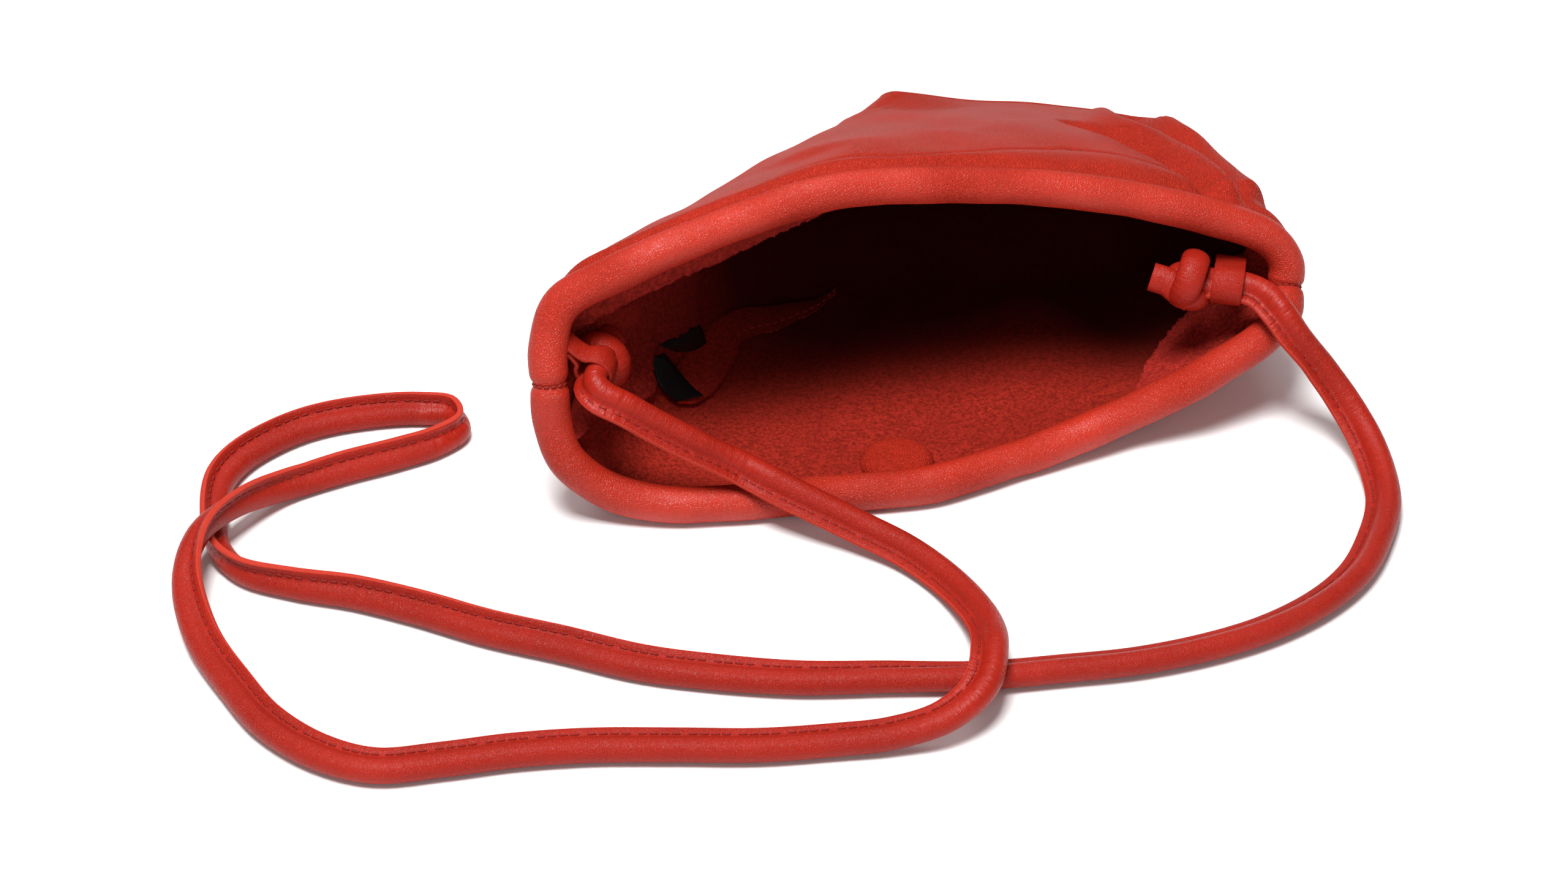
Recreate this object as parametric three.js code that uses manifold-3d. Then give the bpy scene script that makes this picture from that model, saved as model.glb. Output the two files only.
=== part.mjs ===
// A soft leather shoulder pouch, lying on its back panel with its mouth open.
// Two leather panels meet in side and bottom seams. Each ends in a padded roll at the mouth.
// A long leather strap passes through a loop inside each side seam and ends in a knot.
// Millimetres, +Z up, +X along the mouth, +Y from the mouth to the bottom of the pouch.
import * as THREE from "three";
import { mergeVertices } from "three/addons/utils/BufferGeometryUtils.js";
import Module from "manifold-3d";

const wasm = await Module();
wasm.setup();

// Mouth
const mouthHalfWidth = 123; // middle of the mouth to the roll's centre at a side seam
const mouthHeight = 88.5; // floor to the front roll's centre at its highest
const mouthLean = 21.5; // how far the front roll leans back behind the side seams
const lipReach = 29; // how far the back roll reaches forward on the floor
const rimRadius = 6; // outside of the padded roll

// Leather and clearances
const leather = 1.5;
const suede = 1.1; // patches and pocket
const gap = 0.3; // between pieces that touch

// Bottom seam, where the two panels end
const bottomLeft = new THREE.Vector3(40, 160, 34.5);
const bottomMiddle = new THREE.Vector3(86, 146, 29.5);
const bottomRight = new THREE.Vector3(131, 110, 34.5);
const bottomRadius = 4; // rounding of the bottom edge
const frontSag = 1.3; // power of the front panel's fall towards the bottom

// Inside the mouth
const patchDepth = 38; // depth of a side patch at its seam
const patchShare = 0.3; // share of the mouth that a patch runs along each panel
const seamAllowance = 8; // width of the turned-in seam edges
const pocketFrom = 0.3; // shares of the mouth between which the pocket lies
const pocketTo = 0.75;
const pocketTop = 34; // below the roll
const pocketBottom = 105;
const magnetRadius = 9;
const magnetThickness = 2.4;
const magnetCoverRadius = 12;
const labelSize = new THREE.Vector3(15, 10, 0.5);

// Strap, loops and knots
const strapRadius = 4.5;
const loopWidth = 10;
const loopSlack = 1.3; // between the strap and its loop
const tabThickness = 3;
const leftTabBelow = 12.3; // from the roll's far side to a loop's seat on the patch
const rightTabBelow = 2;
const knotRadii = new THREE.Vector3(9.5, 8, 8);
const tailRadius = 4;
const tailLength = 8;
const tailSunk = 2; // how far the tail starts inside the knot

// The roll's centre line around the mouth: shares of half width, lean or reach, and height.
const frontRim = [
  [-1, 0.14, 0.531],
  [-0.992, 0.37, 0.644],
  [-0.943, 0.605, 0.774],
  [-0.789, 0.744, 0.847],
  [-0.472, 0.907, 0.949],
  [-0.195, 1, 1],
  [0.203, 0.86, 0.944],
  [0.512, 0.674, 0.859],
  [0.813, 0.395, 0.723],
  [0.967, 0.186, 0.621],
  [1.008, 0, 0.531],
  [1, -0.14, 0.452],
].map(([across, lean, rise]) => new THREE.Vector3(
  across * mouthHalfWidth,
  lean * mouthLean,
  rise * mouthHeight,
));
const backRim = [
  [0.976, 0.345, 0.352],
  [0.911, 0.517, 0.303],
  [0.715, 0.672, 0.194],
  [0.512, 0.655, 0.073],
  [0.22, 0.81, 0],
  [-0.065, 1, 0],
  [-0.317, 0.862, 0],
  [-0.699, 0.586, 0],
  [-0.87, 0.31, 0.048],
  [-0.976, 0.172, 0.194],
  [-1.004, 0, 0.339],
].map(([across, reach, lift]) => new THREE.Vector3(
  across * mouthHalfWidth,
  -reach * lipReach,
  rimRadius + lift * (mouthHeight - rimRadius),
));

// The strap's ends in its loops, measured from the roll's inner side at each side seam.
const leftStrapEnd = [[12.3, 7.9, 1.8], [9.5, 3, 0.9], [7.8, 0, 0.4], [6.3, -3.4, -0.3], [7.8, -7.6, -2.1]];
const rightStrapEnd = [[-7, -10.5, 5.6], [-11, -6.3, 6.7], [-16.5, -3.2, 7], [-22.5, -0.2, 7.2]];

/** Moves offsets to the roll's inner side at a seam; the mouth lies along X by the given sign. */
function fromSeam(offsets, seamPoint, toMiddle) {
  const face = seamPoint.clone().add(new THREE.Vector3(toMiddle * rimRadius, 0, 0));
  return offsets.map((offset) => new THREE.Vector3(...offset).add(face));
}

// The strap's centre line from the left knot to the right knot, as it lies.
const strapRoute = [
  [-102, -8.5, 41], [-95, -11, 36],
  [-81, -16, 27], [-67, -20, 18.4],
  [-57, -30, 15.2], [-49, -37, 12.5], [-38, -46, 8.5], [-26, -59, 5.6], [-18, -77, 5], [-16, -100, 8.5],
  [-21, -120, 14.2], [-29, -134, 13], [-41, -139, 9], [-57, -138, 5.5], [-74, -135, 4.6],
  [-95, -131, 4.6], [-118, -124, 4.6], [-142, -117, 4.6], [-163, -113, 4.6], [-183, -111, 4.6],
  [-202, -108, 4.6], [-216, -98, 4.6], [-228, -81, 4.6], [-235, -61, 4.6], [-241, -38, 5.5],
  [-242, -18, 9.5], [-239, -6, 13], [-233, 5, 14.4], [-222, 17, 12], [-206, 29, 6.5], [-188, 34, 4.6],
  [-167, 37, 4.6], [-154, 40, 4.6], [-145, 46, 4.6], [-146, 55, 4.6], [-154, 59, 4.6], [-166, 62, 4.6],
  [-185, 63, 4.6], [-199, 60, 4.6], [-215, 51, 4.6], [-224, 40, 4.6], [-229, 23, 4.6], [-230, 5, 4.6],
  [-224, -9, 4.6], [-210, -20, 4.6], [-193, -30, 4.6], [-177, -42, 4.6], [-158, -58, 4.6],
  [-138, -72, 4.6], [-119, -86, 4.6], [-100, -96, 4.6], [-76, -106, 4.6], [-50, -113, 4.6],
  [-24, -120, 4.6], [1, -124, 4.6], [23, -127, 4.6], [47, -127, 4.6], [68, -124, 4.6], [88, -117, 4.6],
  [104, -107, 4.6], [117, -93, 4.6], [127, -78, 4.8], [132, -63, 6], [133, -50, 10], [130, -40, 17],
  [124, -32, 26.5], [117, -26, 36], [113, -20, 42.5],
].map((point) => new THREE.Vector3(...point));
strapRoute.unshift(...fromSeam(leftStrapEnd, frontRim[0], 1));
strapRoute.push(...fromSeam(rightStrapEnd, frontRim.at(-1), -1));
const strapSteps = 80;

const redLeather = { color: 0xb5281f, roughness: 0.5, metalness: 0 };
const redSuede = { color: 0x8f1f1b, roughness: 0.95, metalness: 0 };
const whiteFelt = { color: 0xd8d2c8, roughness: 0.95, metalness: 0 };
const nickel = { color: 0xb8b8b4, roughness: 0.3, metalness: 1 };
const blackSatin = { color: 0x0d0b0c, roughness: 0.35, metalness: 0 };

const pouch = new THREE.Group();
const up = new THREE.Vector3(0, 0, 1);

/** Adds one named piece to the pouch. */
function addPiece(name, geometry, finish) {
  const piece = new THREE.Mesh(geometry, new THREE.MeshStandardMaterial(finish));
  piece.name = name;
  pouch.add(piece);
}

/** A point plus a direction times a length. */
function along(point, direction, length) {
  return point.clone().addScaledVector(direction, length);
}

/** Smooth step from 0 at low to 1 at high. */
function ease(low, high, value) {
  return THREE.MathUtils.smoothstep(value, low, high);
}

/** Points of a stretch of a closed curve, spaced evenly: share 0 to 1 gives a curve parameter. */
function evenParameter(curve, from, to) {
  const samples = 400;
  const lengths = [0];
  let last = curve.getPoint(from);
  for (let i = 1; i <= samples; i += 1) {
    const next = curve.getPoint(from + ((to - from) * i) / samples);
    lengths.push(lengths[i - 1] + next.distanceTo(last));
    last = next;
  }
  return (share) => {
    const wanted = share * lengths[samples];
    const high = Math.min(samples, Math.max(1, lengths.findIndex((length) => length >= wanted)));
    const part = (wanted - lengths[high - 1]) / (lengths[high] - lengths[high - 1]);
    return from + ((to - from) * (high - 1 + part)) / samples;
  };
}

const rim = new THREE.CatmullRomCurve3([...frontRim, ...backRim], true, "centripetal");
const rightSeam = (frontRim.length - 1) / (frontRim.length + backRim.length);
const bottomSeam = new THREE.CatmullRomCurve3([bottomLeft, bottomMiddle, bottomRight]);
const sides = {
  front: { sign: 1, parameter: evenParameter(rim, 0, rightSeam), turn: 1 },
  back: { sign: -1, parameter: evenParameter(rim, 1, rightSeam), turn: -1 },
};

/** Centre, tangent, outward normal and body direction of the roll, at a share of the mouth from the left. */
function rimFrame(side, share) {
  const parameter = side.parameter(share);
  const centre = rim.getPoint(parameter);
  centre.z = Math.max(centre.z, rimRadius);
  const tangent = rim.getTangent(parameter).multiplyScalar(side.turn);
  const inward = bottomSeam.getPoint(share).sub(centre).setZ(0);
  inward.addScaledVector(tangent, -inward.dot(tangent)).normalize();
  const outward = new THREE.Vector3().crossVectors(tangent, inward).multiplyScalar(side.sign).normalize();
  return { centre, tangent, inward, outward };
}

/** Outside of a panel at the rounded bottom edge, turned by 0 on the panel to 90 degrees at the seam. */
function bottomPoint(side, share, turn) {
  const cornerShare = 0.04;
  const cornerStart = THREE.MathUtils.degToRad(8);
  const nearest = Math.min(share, 1 - share);
  const corner = THREE.MathUtils.lerp(cornerStart, Math.PI / 2, Math.min(1, nearest / cornerShare));
  const edge = bottomSeam.getTangent(share);
  const away = new THREE.Vector3().crossVectors(up, edge).normalize();
  const end = share < 0.5 ? -1 : 1;
  const round = away.multiplyScalar(Math.sin(turn)).addScaledVector(up, side.sign * Math.cos(turn));
  return bottomSeam.getPoint(share)
    .addScaledVector(edge, end * bottomRadius * Math.cos(corner))
    .addScaledVector(round, bottomRadius * Math.sin(corner))
    .addScaledVector(up, (side.sign * gap) / 2);
}

/** Outside of a panel at a share of the mouth and a share of the way from the roll to the bottom. */
function panelPoint(side, share, depth) {
  const { centre, outward } = rimFrame(side, share);
  const start = along(centre, outward, rimRadius);
  const end = bottomPoint(side, share, 0);
  const point = start.clone().lerp(end, depth);
  const falling = THREE.MathUtils.lerp(start.z, end.z, depth ** frontSag);
  if (side === sides.front) return point.setZ(falling);
  const flatShare = 0.3;
  const flatStart = 0.35;
  const flatEnd = 0.6;
  const flat = ease(0, flatShare, share) * ease(0, flatShare, 1 - share);
  const onFloor = start.z * (1 - ease(0, flatStart, depth)) + end.z * ease(flatEnd, 1, depth);
  return point.setZ(THREE.MathUtils.lerp(falling, onFloor, flat));
}

// Columns run along the mouth and rows from the tucked edge, round the roll and down the panel.
const columnSlack = 0.01;
const columns = [0, 0.03, 0.06, 0.09, 0.12, 0.16, 0.2, 0.25];
for (let share = 0.3; share < 0.705; share += 0.05) columns.push(share);
columns.push(0.75, 0.8, 0.84, 0.88, 0.91, 0.94, 0.97, 1);
const depths = [0.03, 0.06, 0.1, 0.15, 0.2, 0.27, 0.35, 0.43, 0.52, 0.6, 0.68, 0.76, 0.84, 0.92, 1];
const rollAngles = [270, 240, 210, 180, 150, 120, 90, 60, 30, 0].map(THREE.MathUtils.degToRad);
const bottomTurns = [30, 60, 90].map(THREE.MathUtils.degToRad);
const firstDepthRow = rollAngles.length + 1;

/** The outside of one column of a panel, from the tucked edge to the bottom seam. */
function panelColumn(side, share) {
  const { centre, inward, outward } = rimFrame(side, share);
  const tucked = along(along(centre, inward, rimRadius), outward, rimRadius - 2 * leather - 2 * gap);
  const roll = rollAngles.map((angle) => along(
    along(centre, outward, rimRadius * Math.cos(angle)),
    inward,
    -rimRadius * Math.sin(angle),
  ));
  const body = depths.map((depth) => panelPoint(side, share, depth));
  const end = bottomTurns.map((turn) => bottomPoint(side, share, turn));
  return [tucked, ...roll, ...body, ...end];
}

/** Outward normals of a grid of points, from its neighbours in both directions. */
function gridNormals(grid, sign) {
  const last = grid.length - 1;
  return grid.map((column, j) => column.map((_, i) => {
    const acrossWay = grid[Math.min(j + 1, last)][i].clone().sub(grid[Math.max(j - 1, 0)][i]);
    const downWay = column[Math.min(i + 1, column.length - 1)].clone().sub(column[Math.max(i - 1, 0)]);
    return acrossWay.cross(downWay).multiplyScalar(sign).normalize();
  }));
}

/** A closed solid between two grids of the same size, with its faces turned outwards. */
function sheetSolid(outer, inner) {
  const across = outer.length;
  const down = outer[0].length;
  const positions = [...outer.flat(), ...inner.flat()].flatMap((point) => point.toArray());
  const faces = [];
  const end = across - 1;
  const index = (skin, j, i) => skin * across * down + j * down + i;
  const quad = (a, b, c, d) => faces.push(a, b, c, a, c, d);
  for (let j = 0; j + 1 < across; j += 1) {
    for (let i = 0; i + 1 < down; i += 1) {
      quad(index(0, j, i), index(0, j + 1, i), index(0, j + 1, i + 1), index(0, j, i + 1));
      quad(index(1, j, i), index(1, j, i + 1), index(1, j + 1, i + 1), index(1, j + 1, i));
    }
    quad(index(0, j, 0), index(1, j, 0), index(1, j + 1, 0), index(0, j + 1, 0));
    quad(index(0, j, down - 1), index(0, j + 1, down - 1), index(1, j + 1, down - 1), index(1, j, down - 1));
  }
  for (let i = 0; i + 1 < down; i += 1) {
    quad(index(0, 0, i), index(0, 0, i + 1), index(1, 0, i + 1), index(1, 0, i));
    quad(index(0, end, i), index(1, end, i), index(1, end, i + 1), index(0, end, i + 1));
  }
  if (signedVolume(positions, faces) < 0) faces.reverse();
  const geometry = new THREE.BufferGeometry();
  geometry.setAttribute("position", new THREE.Float32BufferAttribute(positions, 3));
  geometry.setIndex(faces);
  return geometry;
}

/** Six times the volume inside a triangle list, negative where the faces point inwards. */
function signedVolume(positions, faces) {
  const corner = (i) => new THREE.Vector3().fromArray(positions, 3 * faces[i]);
  let volume = 0;
  for (let i = 0; i < faces.length; i += 3) {
    volume += corner(i).dot(corner(i + 1).cross(corner(i + 2)));
  }
  return volume;
}

const lastColumn = columns.length - 1;
const outsides = new Map();
for (const side of Object.values(sides)) {
  outsides.set(side, columns.map((share) => panelColumn(side, share)));
}

/** Directions at each row of a side seam: from the back panel to the front one, and out of the pouch. */
function seamFrames(column, neighbour) {
  const front = outsides.get(sides.front);
  const back = outsides.get(sides.back);
  const rows = front[column].length;
  return front[column].map((point, i) => {
    const toFront = front[neighbour][i].clone().sub(back[neighbour][i]).normalize();
    const down = front[column][Math.min(i + 1, rows - 1)].clone().sub(front[column][Math.max(i - 1, 0)]);
    const outward = toFront.clone().cross(down).multiplyScalar(column === 0 ? 1 : -1).normalize();
    return { toFront, outward, middle: point.clone().lerp(back[column][i], 0.5) };
  });
}

const seams = { left: seamFrames(0, 1), right: seamFrames(lastColumn, lastColumn - 1) };

/** How far the seam edge is turned in at each row: hardly under the patch and at the bottom corner. */
function allowanceWidths(seam, share) {
  const lip = leather + gap / 3;
  const start = seam[firstDepthRow - 1].middle;
  const flangeStart = patchDepth + seamAllowance / 2;
  const { inward } = rimFrame(sides.front, share);
  const patched = seam.findIndex(({ middle }, i) => (
    i > firstDepthRow && middle.clone().sub(start).dot(inward) > flangeStart
  ));
  return seam.map((_, i) => {
    const depth = depths[i - firstDepthRow] ?? 1;
    const turned = i > patched ? 1 - ease(0.6, 0.85, depth) : 0;
    return THREE.MathUtils.lerp(lip, seamAllowance, turned);
  });
}

/** Both skins of a panel: the outside, the inside, and the seam edges turned in at its two ends. */
function makePanel(side) {
  const outside = outsides.get(side);
  const normals = gridNormals(outside, side.sign);
  for (const column of normals) column.at(-1).setZ(0).normalize();
  const inside = outside.map((column, j) => column.map((point, i) => along(point, normals[j][i], -leather)));
  const edges = [[0, seams.left], [lastColumn, seams.right]].map(([j, seam]) => {
    const widths = allowanceWidths(seam, columns[j]);
    outside[j] = seam.map(({ middle, toFront }) => along(middle, toFront, side.sign * gap));
    inside[j] = outside[j].map((point, i) => along(
      along(point, seam[i].outward, -leather),
      seam[i].toFront,
      side.sign * leather,
    ));
    const tips = outside[j].map((point, i) => along(point, seam[i].outward, -widths[i]));
    const backs = tips.map((point, i) => along(point, seam[i].toFront, side.sign * leather));
    return { tips, backs };
  });
  const outer = [edges[0].tips, ...outside, edges[1].tips];
  const inner = [edges[0].backs, ...inside, edges[1].backs];
  return { side, inside, normals, edges, solid: sheetSolid(outer, inner) };
}

const frontPanel = makePanel(sides.front);
const backPanel = makePanel(sides.back);
addPiece("front_panel", frontPanel.solid, redLeather);
addPiece("back_panel", backPanel.solid, redLeather);

/** A point and its outward normal, at a depth measured square to the roll down a line of points. */
function walkDown(points, normals, inward, depth) {
  let walked = 0;
  let row = firstDepthRow - 1;
  let step = points[row + 1].clone().sub(points[row]).dot(inward);
  while (walked + step < depth && row + 2 < points.length) {
    walked += step;
    row += 1;
    step = points[row + 1].clone().sub(points[row]).dot(inward);
  }
  const part = (depth - walked) / step;
  return {
    point: points[row].clone().lerp(points[row + 1], part),
    normal: normals[row].clone().lerp(normals[row + 1], part).normalize(),
  };
}

/** Inside face and outward normal of a panel column. */
function insideAt(panel, column, depth) {
  const { inward } = rimFrame(panel.side, columns[column]);
  return walkDown(panel.inside[column], panel.normals[column], inward, depth);
}

/** Inside face and outward normal over a side seam. */
function insideSeam(seam, column, depth) {
  const { inward } = rimFrame(sides.front, columns[column]);
  const points = seam.map(({ middle, outward }) => along(middle, outward, -leather - gap / 3));
  return walkDown(points, seam.map(({ outward }) => outward), inward, depth);
}

/** A tube of a round section along a curve. */
function tubeAlong(curve, radius, sidesAround, steps) {
  const section = new THREE.Shape();
  for (let i = 0; i < sidesAround; i += 1) {
    const angle = (2 * Math.PI * i) / sidesAround;
    const corner = [radius * Math.cos(angle), radius * Math.sin(angle)];
    if (i === 0) section.moveTo(...corner);
    else section.lineTo(...corner);
  }
  section.closePath();
  return new THREE.ExtrudeGeometry(section, { steps, extrudePath: curve, bevelEnabled: false });
}

/** A closed solid through rings of points, all with the same number of points. */
function ringSolid(rings) {
  const around = rings[0].length;
  const positions = rings.flat().flatMap((point) => point.toArray());
  const faces = [];
  for (let j = 0; j + 1 < rings.length; j += 1) {
    for (let i = 0; i < around; i += 1) {
      const here = j * around + i;
      const next = j * around + ((i + 1) % around);
      faces.push(here, next, next + around, here, next + around, here + around);
    }
  }
  const last = (rings.length - 1) * around;
  for (let i = 1; i + 1 < around; i += 1) {
    faces.push(0, i + 1, i, last, last + i, last + i + 1);
  }
  if (signedVolume(positions, faces) < 0) faces.reverse();
  const geometry = new THREE.BufferGeometry();
  geometry.setAttribute("position", new THREE.Float32BufferAttribute(positions, 3));
  geometry.setIndex(faces);
  return geometry;
}

/** The soft core inside a roll, through the panel's columns and stopped short of the seam edges. */
function makeFiller(side) {
  const stop = (leather + 3 * gap) / (2 * mouthHalfWidth);
  const radius = rimRadius - leather - 2 * gap;
  const sidesAround = 8;
  const rings = [stop, ...columns.slice(1, -1), 1 - stop].map((share) => {
    const { centre, inward, outward } = rimFrame(side, share);
    const ring = [];
    for (let i = 0; i < sidesAround; i += 1) {
      const angle = (2 * Math.PI * i) / sidesAround;
      ring.push(along(along(centre, outward, radius * Math.cos(angle)), inward, radius * Math.sin(angle)));
    }
    return ring;
  });
  return ringSolid(rings);
}

addPiece("front_rim_filler", makeFiller(sides.front), whiteFelt);
addPiece("back_rim_filler", makeFiller(sides.back), whiteFelt);

/** A suede facing over a side seam, deepest at the seam and tapering along both rolls. */
function makePatch(atLeft) {
  const startDepth = rimRadius + leather + 2 * gap;
  const narrowing = 0.8;
  const reach = columns.filter((share) => share > 0 && share <= patchShare);
  const rowCount = 6;
  const outer = [];
  const inner = [];
  const addColumn = (share, faceAt) => {
    const endDepth = THREE.MathUtils.lerp(patchDepth, startDepth, narrowing * ease(0, patchShare, share));
    const faces = [];
    for (let i = 0; i <= rowCount; i += 1) {
      faces.push(faceAt(THREE.MathUtils.lerp(startDepth, endDepth, i / rowCount)));
    }
    outer.push(faces.map(({ point, normal }) => along(point, normal, -gap)));
    inner.push(faces.map(({ point, normal }) => along(point, normal, -gap - suede)));
  };
  const columnOf = (share) => (atLeft ? columns.indexOf(share) : lastColumn - columns.indexOf(share));
  const onPanel = (panel) => (share) => addColumn(share, (depth) => insideAt(panel, columnOf(share), depth));
  [...reach].reverse().forEach(onPanel(frontPanel));
  addColumn(0, (depth) => insideSeam(atLeft ? seams.left : seams.right, columnOf(0), depth));
  reach.forEach(onPanel(backPanel));
  return sheetSolid(outer, inner);
}

addPiece("left_side_patch", makePatch(true), redSuede);
addPiece("right_side_patch", makePatch(false), redSuede);

/** The slip pocket, a sheet along the inside of the front panel. */
function makePocket() {
  const rowCount = 8;
  const outer = [];
  const inner = [];
  columns.forEach((share, column) => {
    if (share < pocketFrom - columnSlack || share > pocketTo + columnSlack) return;
    const faces = [];
    for (let i = 0; i <= rowCount; i += 1) {
      faces.push(insideAt(frontPanel, column, THREE.MathUtils.lerp(pocketTop, pocketBottom, i / rowCount)));
    }
    outer.push(faces.map(({ point, normal }) => along(point, normal, -gap)));
    inner.push(faces.map(({ point, normal }) => along(point, normal, -gap - suede)));
  });
  return sheetSolid(outer, inner);
}

addPiece("inner_pocket", makePocket(), redSuede);

/** Places a geometry made about the origin, with its z axis along a direction and its x axis near another. */
function place(geometry, origin, zAxis, xNear) {
  const z = zAxis.clone().normalize();
  const x = xNear.clone().addScaledVector(z, -xNear.dot(z)).normalize();
  const y = new THREE.Vector3().crossVectors(z, x);
  return geometry.applyMatrix4(new THREE.Matrix4().makeBasis(x, y, z).setPosition(origin));
}

/** A closed geometry as a solid that can be joined to or cut from another. */
function solidOf(geometry) {
  const plain = geometry.index ? geometry.toNonIndexed() : geometry.clone();
  plain.deleteAttribute("normal");
  plain.deleteAttribute("uv");
  const merged = mergeVertices(plain, 1e-4);
  return new wasm.Manifold(new wasm.Mesh({
    numProp: 3,
    vertProperties: merged.attributes.position.array,
    triVerts: new Uint32Array(merged.index.array),
  }));
}

/** A joined or cut solid as a geometry. */
function geometryOf(solid) {
  const mesh = solid.getMesh();
  const geometry = new THREE.BufferGeometry();
  geometry.setAttribute("position", new THREE.BufferAttribute(mesh.vertProperties, 3));
  geometry.setIndex(new THREE.BufferAttribute(mesh.triVerts, 1));
  return geometry;
}

/** A disc magnet and the leather cap over it, on the inside of a panel just below the roll. */
function addMagnet(name, panel, share) {
  const column = columns.findIndex((value) => value > share - columnSlack);
  const { point, normal } = insideAt(panel, column, rimRadius + magnetCoverRadius + 2 * gap);
  const inward = normal.clone().negate();
  const seat = along(point, inward, 3 * gap);
  const bore = magnetRadius + gap;
  const boreDepth = magnetThickness + 2 * gap;
  const capHeight = boreDepth + leather;
  const crown = magnetCoverRadius - 2 * leather;
  const capProfile = [
    [bore, 0],
    [magnetCoverRadius, 0],
    [magnetCoverRadius, leather],
    [crown, capHeight],
    [0, capHeight],
    [0, boreDepth],
    [bore, boreDepth],
    [bore, 0],
  ].map((corner) => new THREE.Vector2(...corner));
  const disc = new THREE.CylinderGeometry(magnetRadius, magnetRadius, magnetThickness, 24);
  disc.rotateX(Math.PI / 2).translate(0, 0, gap + magnetThickness / 2);
  const cap = new THREE.LatheGeometry(capProfile, 24).rotateX(Math.PI / 2);
  const across = new THREE.Vector3(1, 0, 0);
  addPiece(`${name}_magnet`, place(disc, seat, inward, across), nickel);
  addPiece(`${name}_magnet_cover`, place(cap, seat, inward, across), redLeather);
}

addMagnet("front", frontPanel, 0.45);
addMagnet("back", backPanel, 0.45);

const strapCurve = new THREE.CatmullRomCurve3(strapRoute, false, "centripetal");
addPiece("strap", tubeAlong(strapCurve, strapRadius, 10, strapSteps), redLeather);

/** A loop around the strap with a doubled tab that reaches the patch at a side seam. */
function makeLoop(routeIndex, panel, column, tabDepth) {
  const centre = strapRoute[routeIndex];
  const axis = strapRoute[routeIndex + 1].clone().sub(strapRoute[routeIndex - 1]).normalize();
  const { point, normal } = insideAt(panel, column, tabDepth);
  const seat = along(point, normal, -suede - 4 * gap);
  const toSeat = seat.clone().sub(centre);
  const reach = toSeat.clone().addScaledVector(axis, -toSeat.dot(axis)).length();
  const bore = strapRadius + loopSlack;
  const ring = bore + leather;
  const half = tabThickness / 2;
  const meet = Math.asin(half / ring);
  const outline = new THREE.Shape();
  outline.moveTo(reach, -half);
  outline.lineTo(reach, half);
  outline.lineTo(ring * Math.cos(meet), half);
  outline.absarc(0, 0, ring, meet, 2 * Math.PI - meet, false);
  outline.closePath();
  outline.holes.push(new THREE.Path().absarc(0, 0, bore, 0, 2 * Math.PI, true));
  const extrusion = { depth: loopWidth, bevelEnabled: false, curveSegments: 10 };
  const loop = new THREE.ExtrudeGeometry(outline, extrusion);
  return place(loop.translate(0, 0, -loopWidth / 2), centre, axis, toSeat);
}

const leftTabDepth = 2 * rimRadius + leftTabBelow;
const rightTabDepth = 2 * rimRadius + rightTabBelow;
addPiece("left_strap_loop", makeLoop(1, frontPanel, 1, leftTabDepth), redLeather);
addPiece(
  "right_strap_loop",
  makeLoop(strapRoute.length - 2, frontPanel, lastColumn - 1, rightTabDepth),
  redLeather,
);

/** A knot beyond the end of the strap, with a short tail that points on from it. */
function makeKnot(end, onward) {
  const round = new THREE.SphereGeometry(1, 16, 12);
  round.scale(knotRadii.y, knotRadii.z, knotRadii.x);
  const tail = new THREE.CylinderGeometry(tailRadius, tailRadius, tailLength, 12);
  tail.rotateX(Math.PI / 2).translate(0, 0, knotRadii.x + tailLength / 2 - tailSunk);
  const knot = geometryOf(solidOf(round).add(solidOf(tail)));
  return place(knot, along(end, onward, knotRadii.x + 2 * gap), onward, up);
}

const leftKnotWay = new THREE.Vector3(0.72, 0.68, 0.12).normalize();
const rightKnotWay = new THREE.Vector3(-0.88, 0.44, 0.15).normalize();
addPiece("left_knot", makeKnot(strapRoute[0], leftKnotWay), redLeather);
addPiece("right_knot", makeKnot(strapRoute.at(-1), rightKnotWay), redLeather);

/** A small satin tab beside the turned-in edge of the left seam. */
function addLabel(name, row) {
  const { backs } = frontPanel.edges[0];
  const { outward } = seams.left[row];
  const down = backs[row + 1].clone().sub(backs[row]).normalize();
  const away = down.clone().cross(frontPanel.inside[0][row].clone().sub(backs[row])).normalize();
  if (away.dot(seams.left[row].toFront) < 0) away.negate();
  const held = 4;
  const middle = backs[row].clone().lerp(backs[row + 1], 0.5);
  middle.addScaledVector(outward, held - labelSize.y / 2).addScaledVector(away, labelSize.z / 2 + 2 * gap);
  const label = new THREE.BoxGeometry(labelSize.x, labelSize.y, labelSize.z);
  addPiece(name, place(label, middle, away, down), blackSatin);
}

addLabel("upper_label", firstDepthRow + 5);
addLabel("lower_label", firstDepthRow + 6);

// The origin is under the middle of the pouch, without the strap and its knots.
const onTheCord = ["strap", "left_knot", "right_knot"];
const body = new THREE.Box3();
for (const piece of pouch.children) {
  if (!onTheCord.includes(piece.name)) body.expandByObject(piece, true);
}
const middle = body.getCenter(new THREE.Vector3());
for (const piece of pouch.children) piece.position.set(-middle.x, -middle.y, -body.min.z);

export default pouch;
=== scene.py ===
"""Looks of a soft red leather shoulder pouch that lies open on its back panel."""
import logging
import math
from dataclasses import dataclass, field
from enum import Enum, IntEnum
from typing import Optional, Sequence

import bmesh
import bpy
import numpy as np
from mathutils import Matrix, Vector


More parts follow.
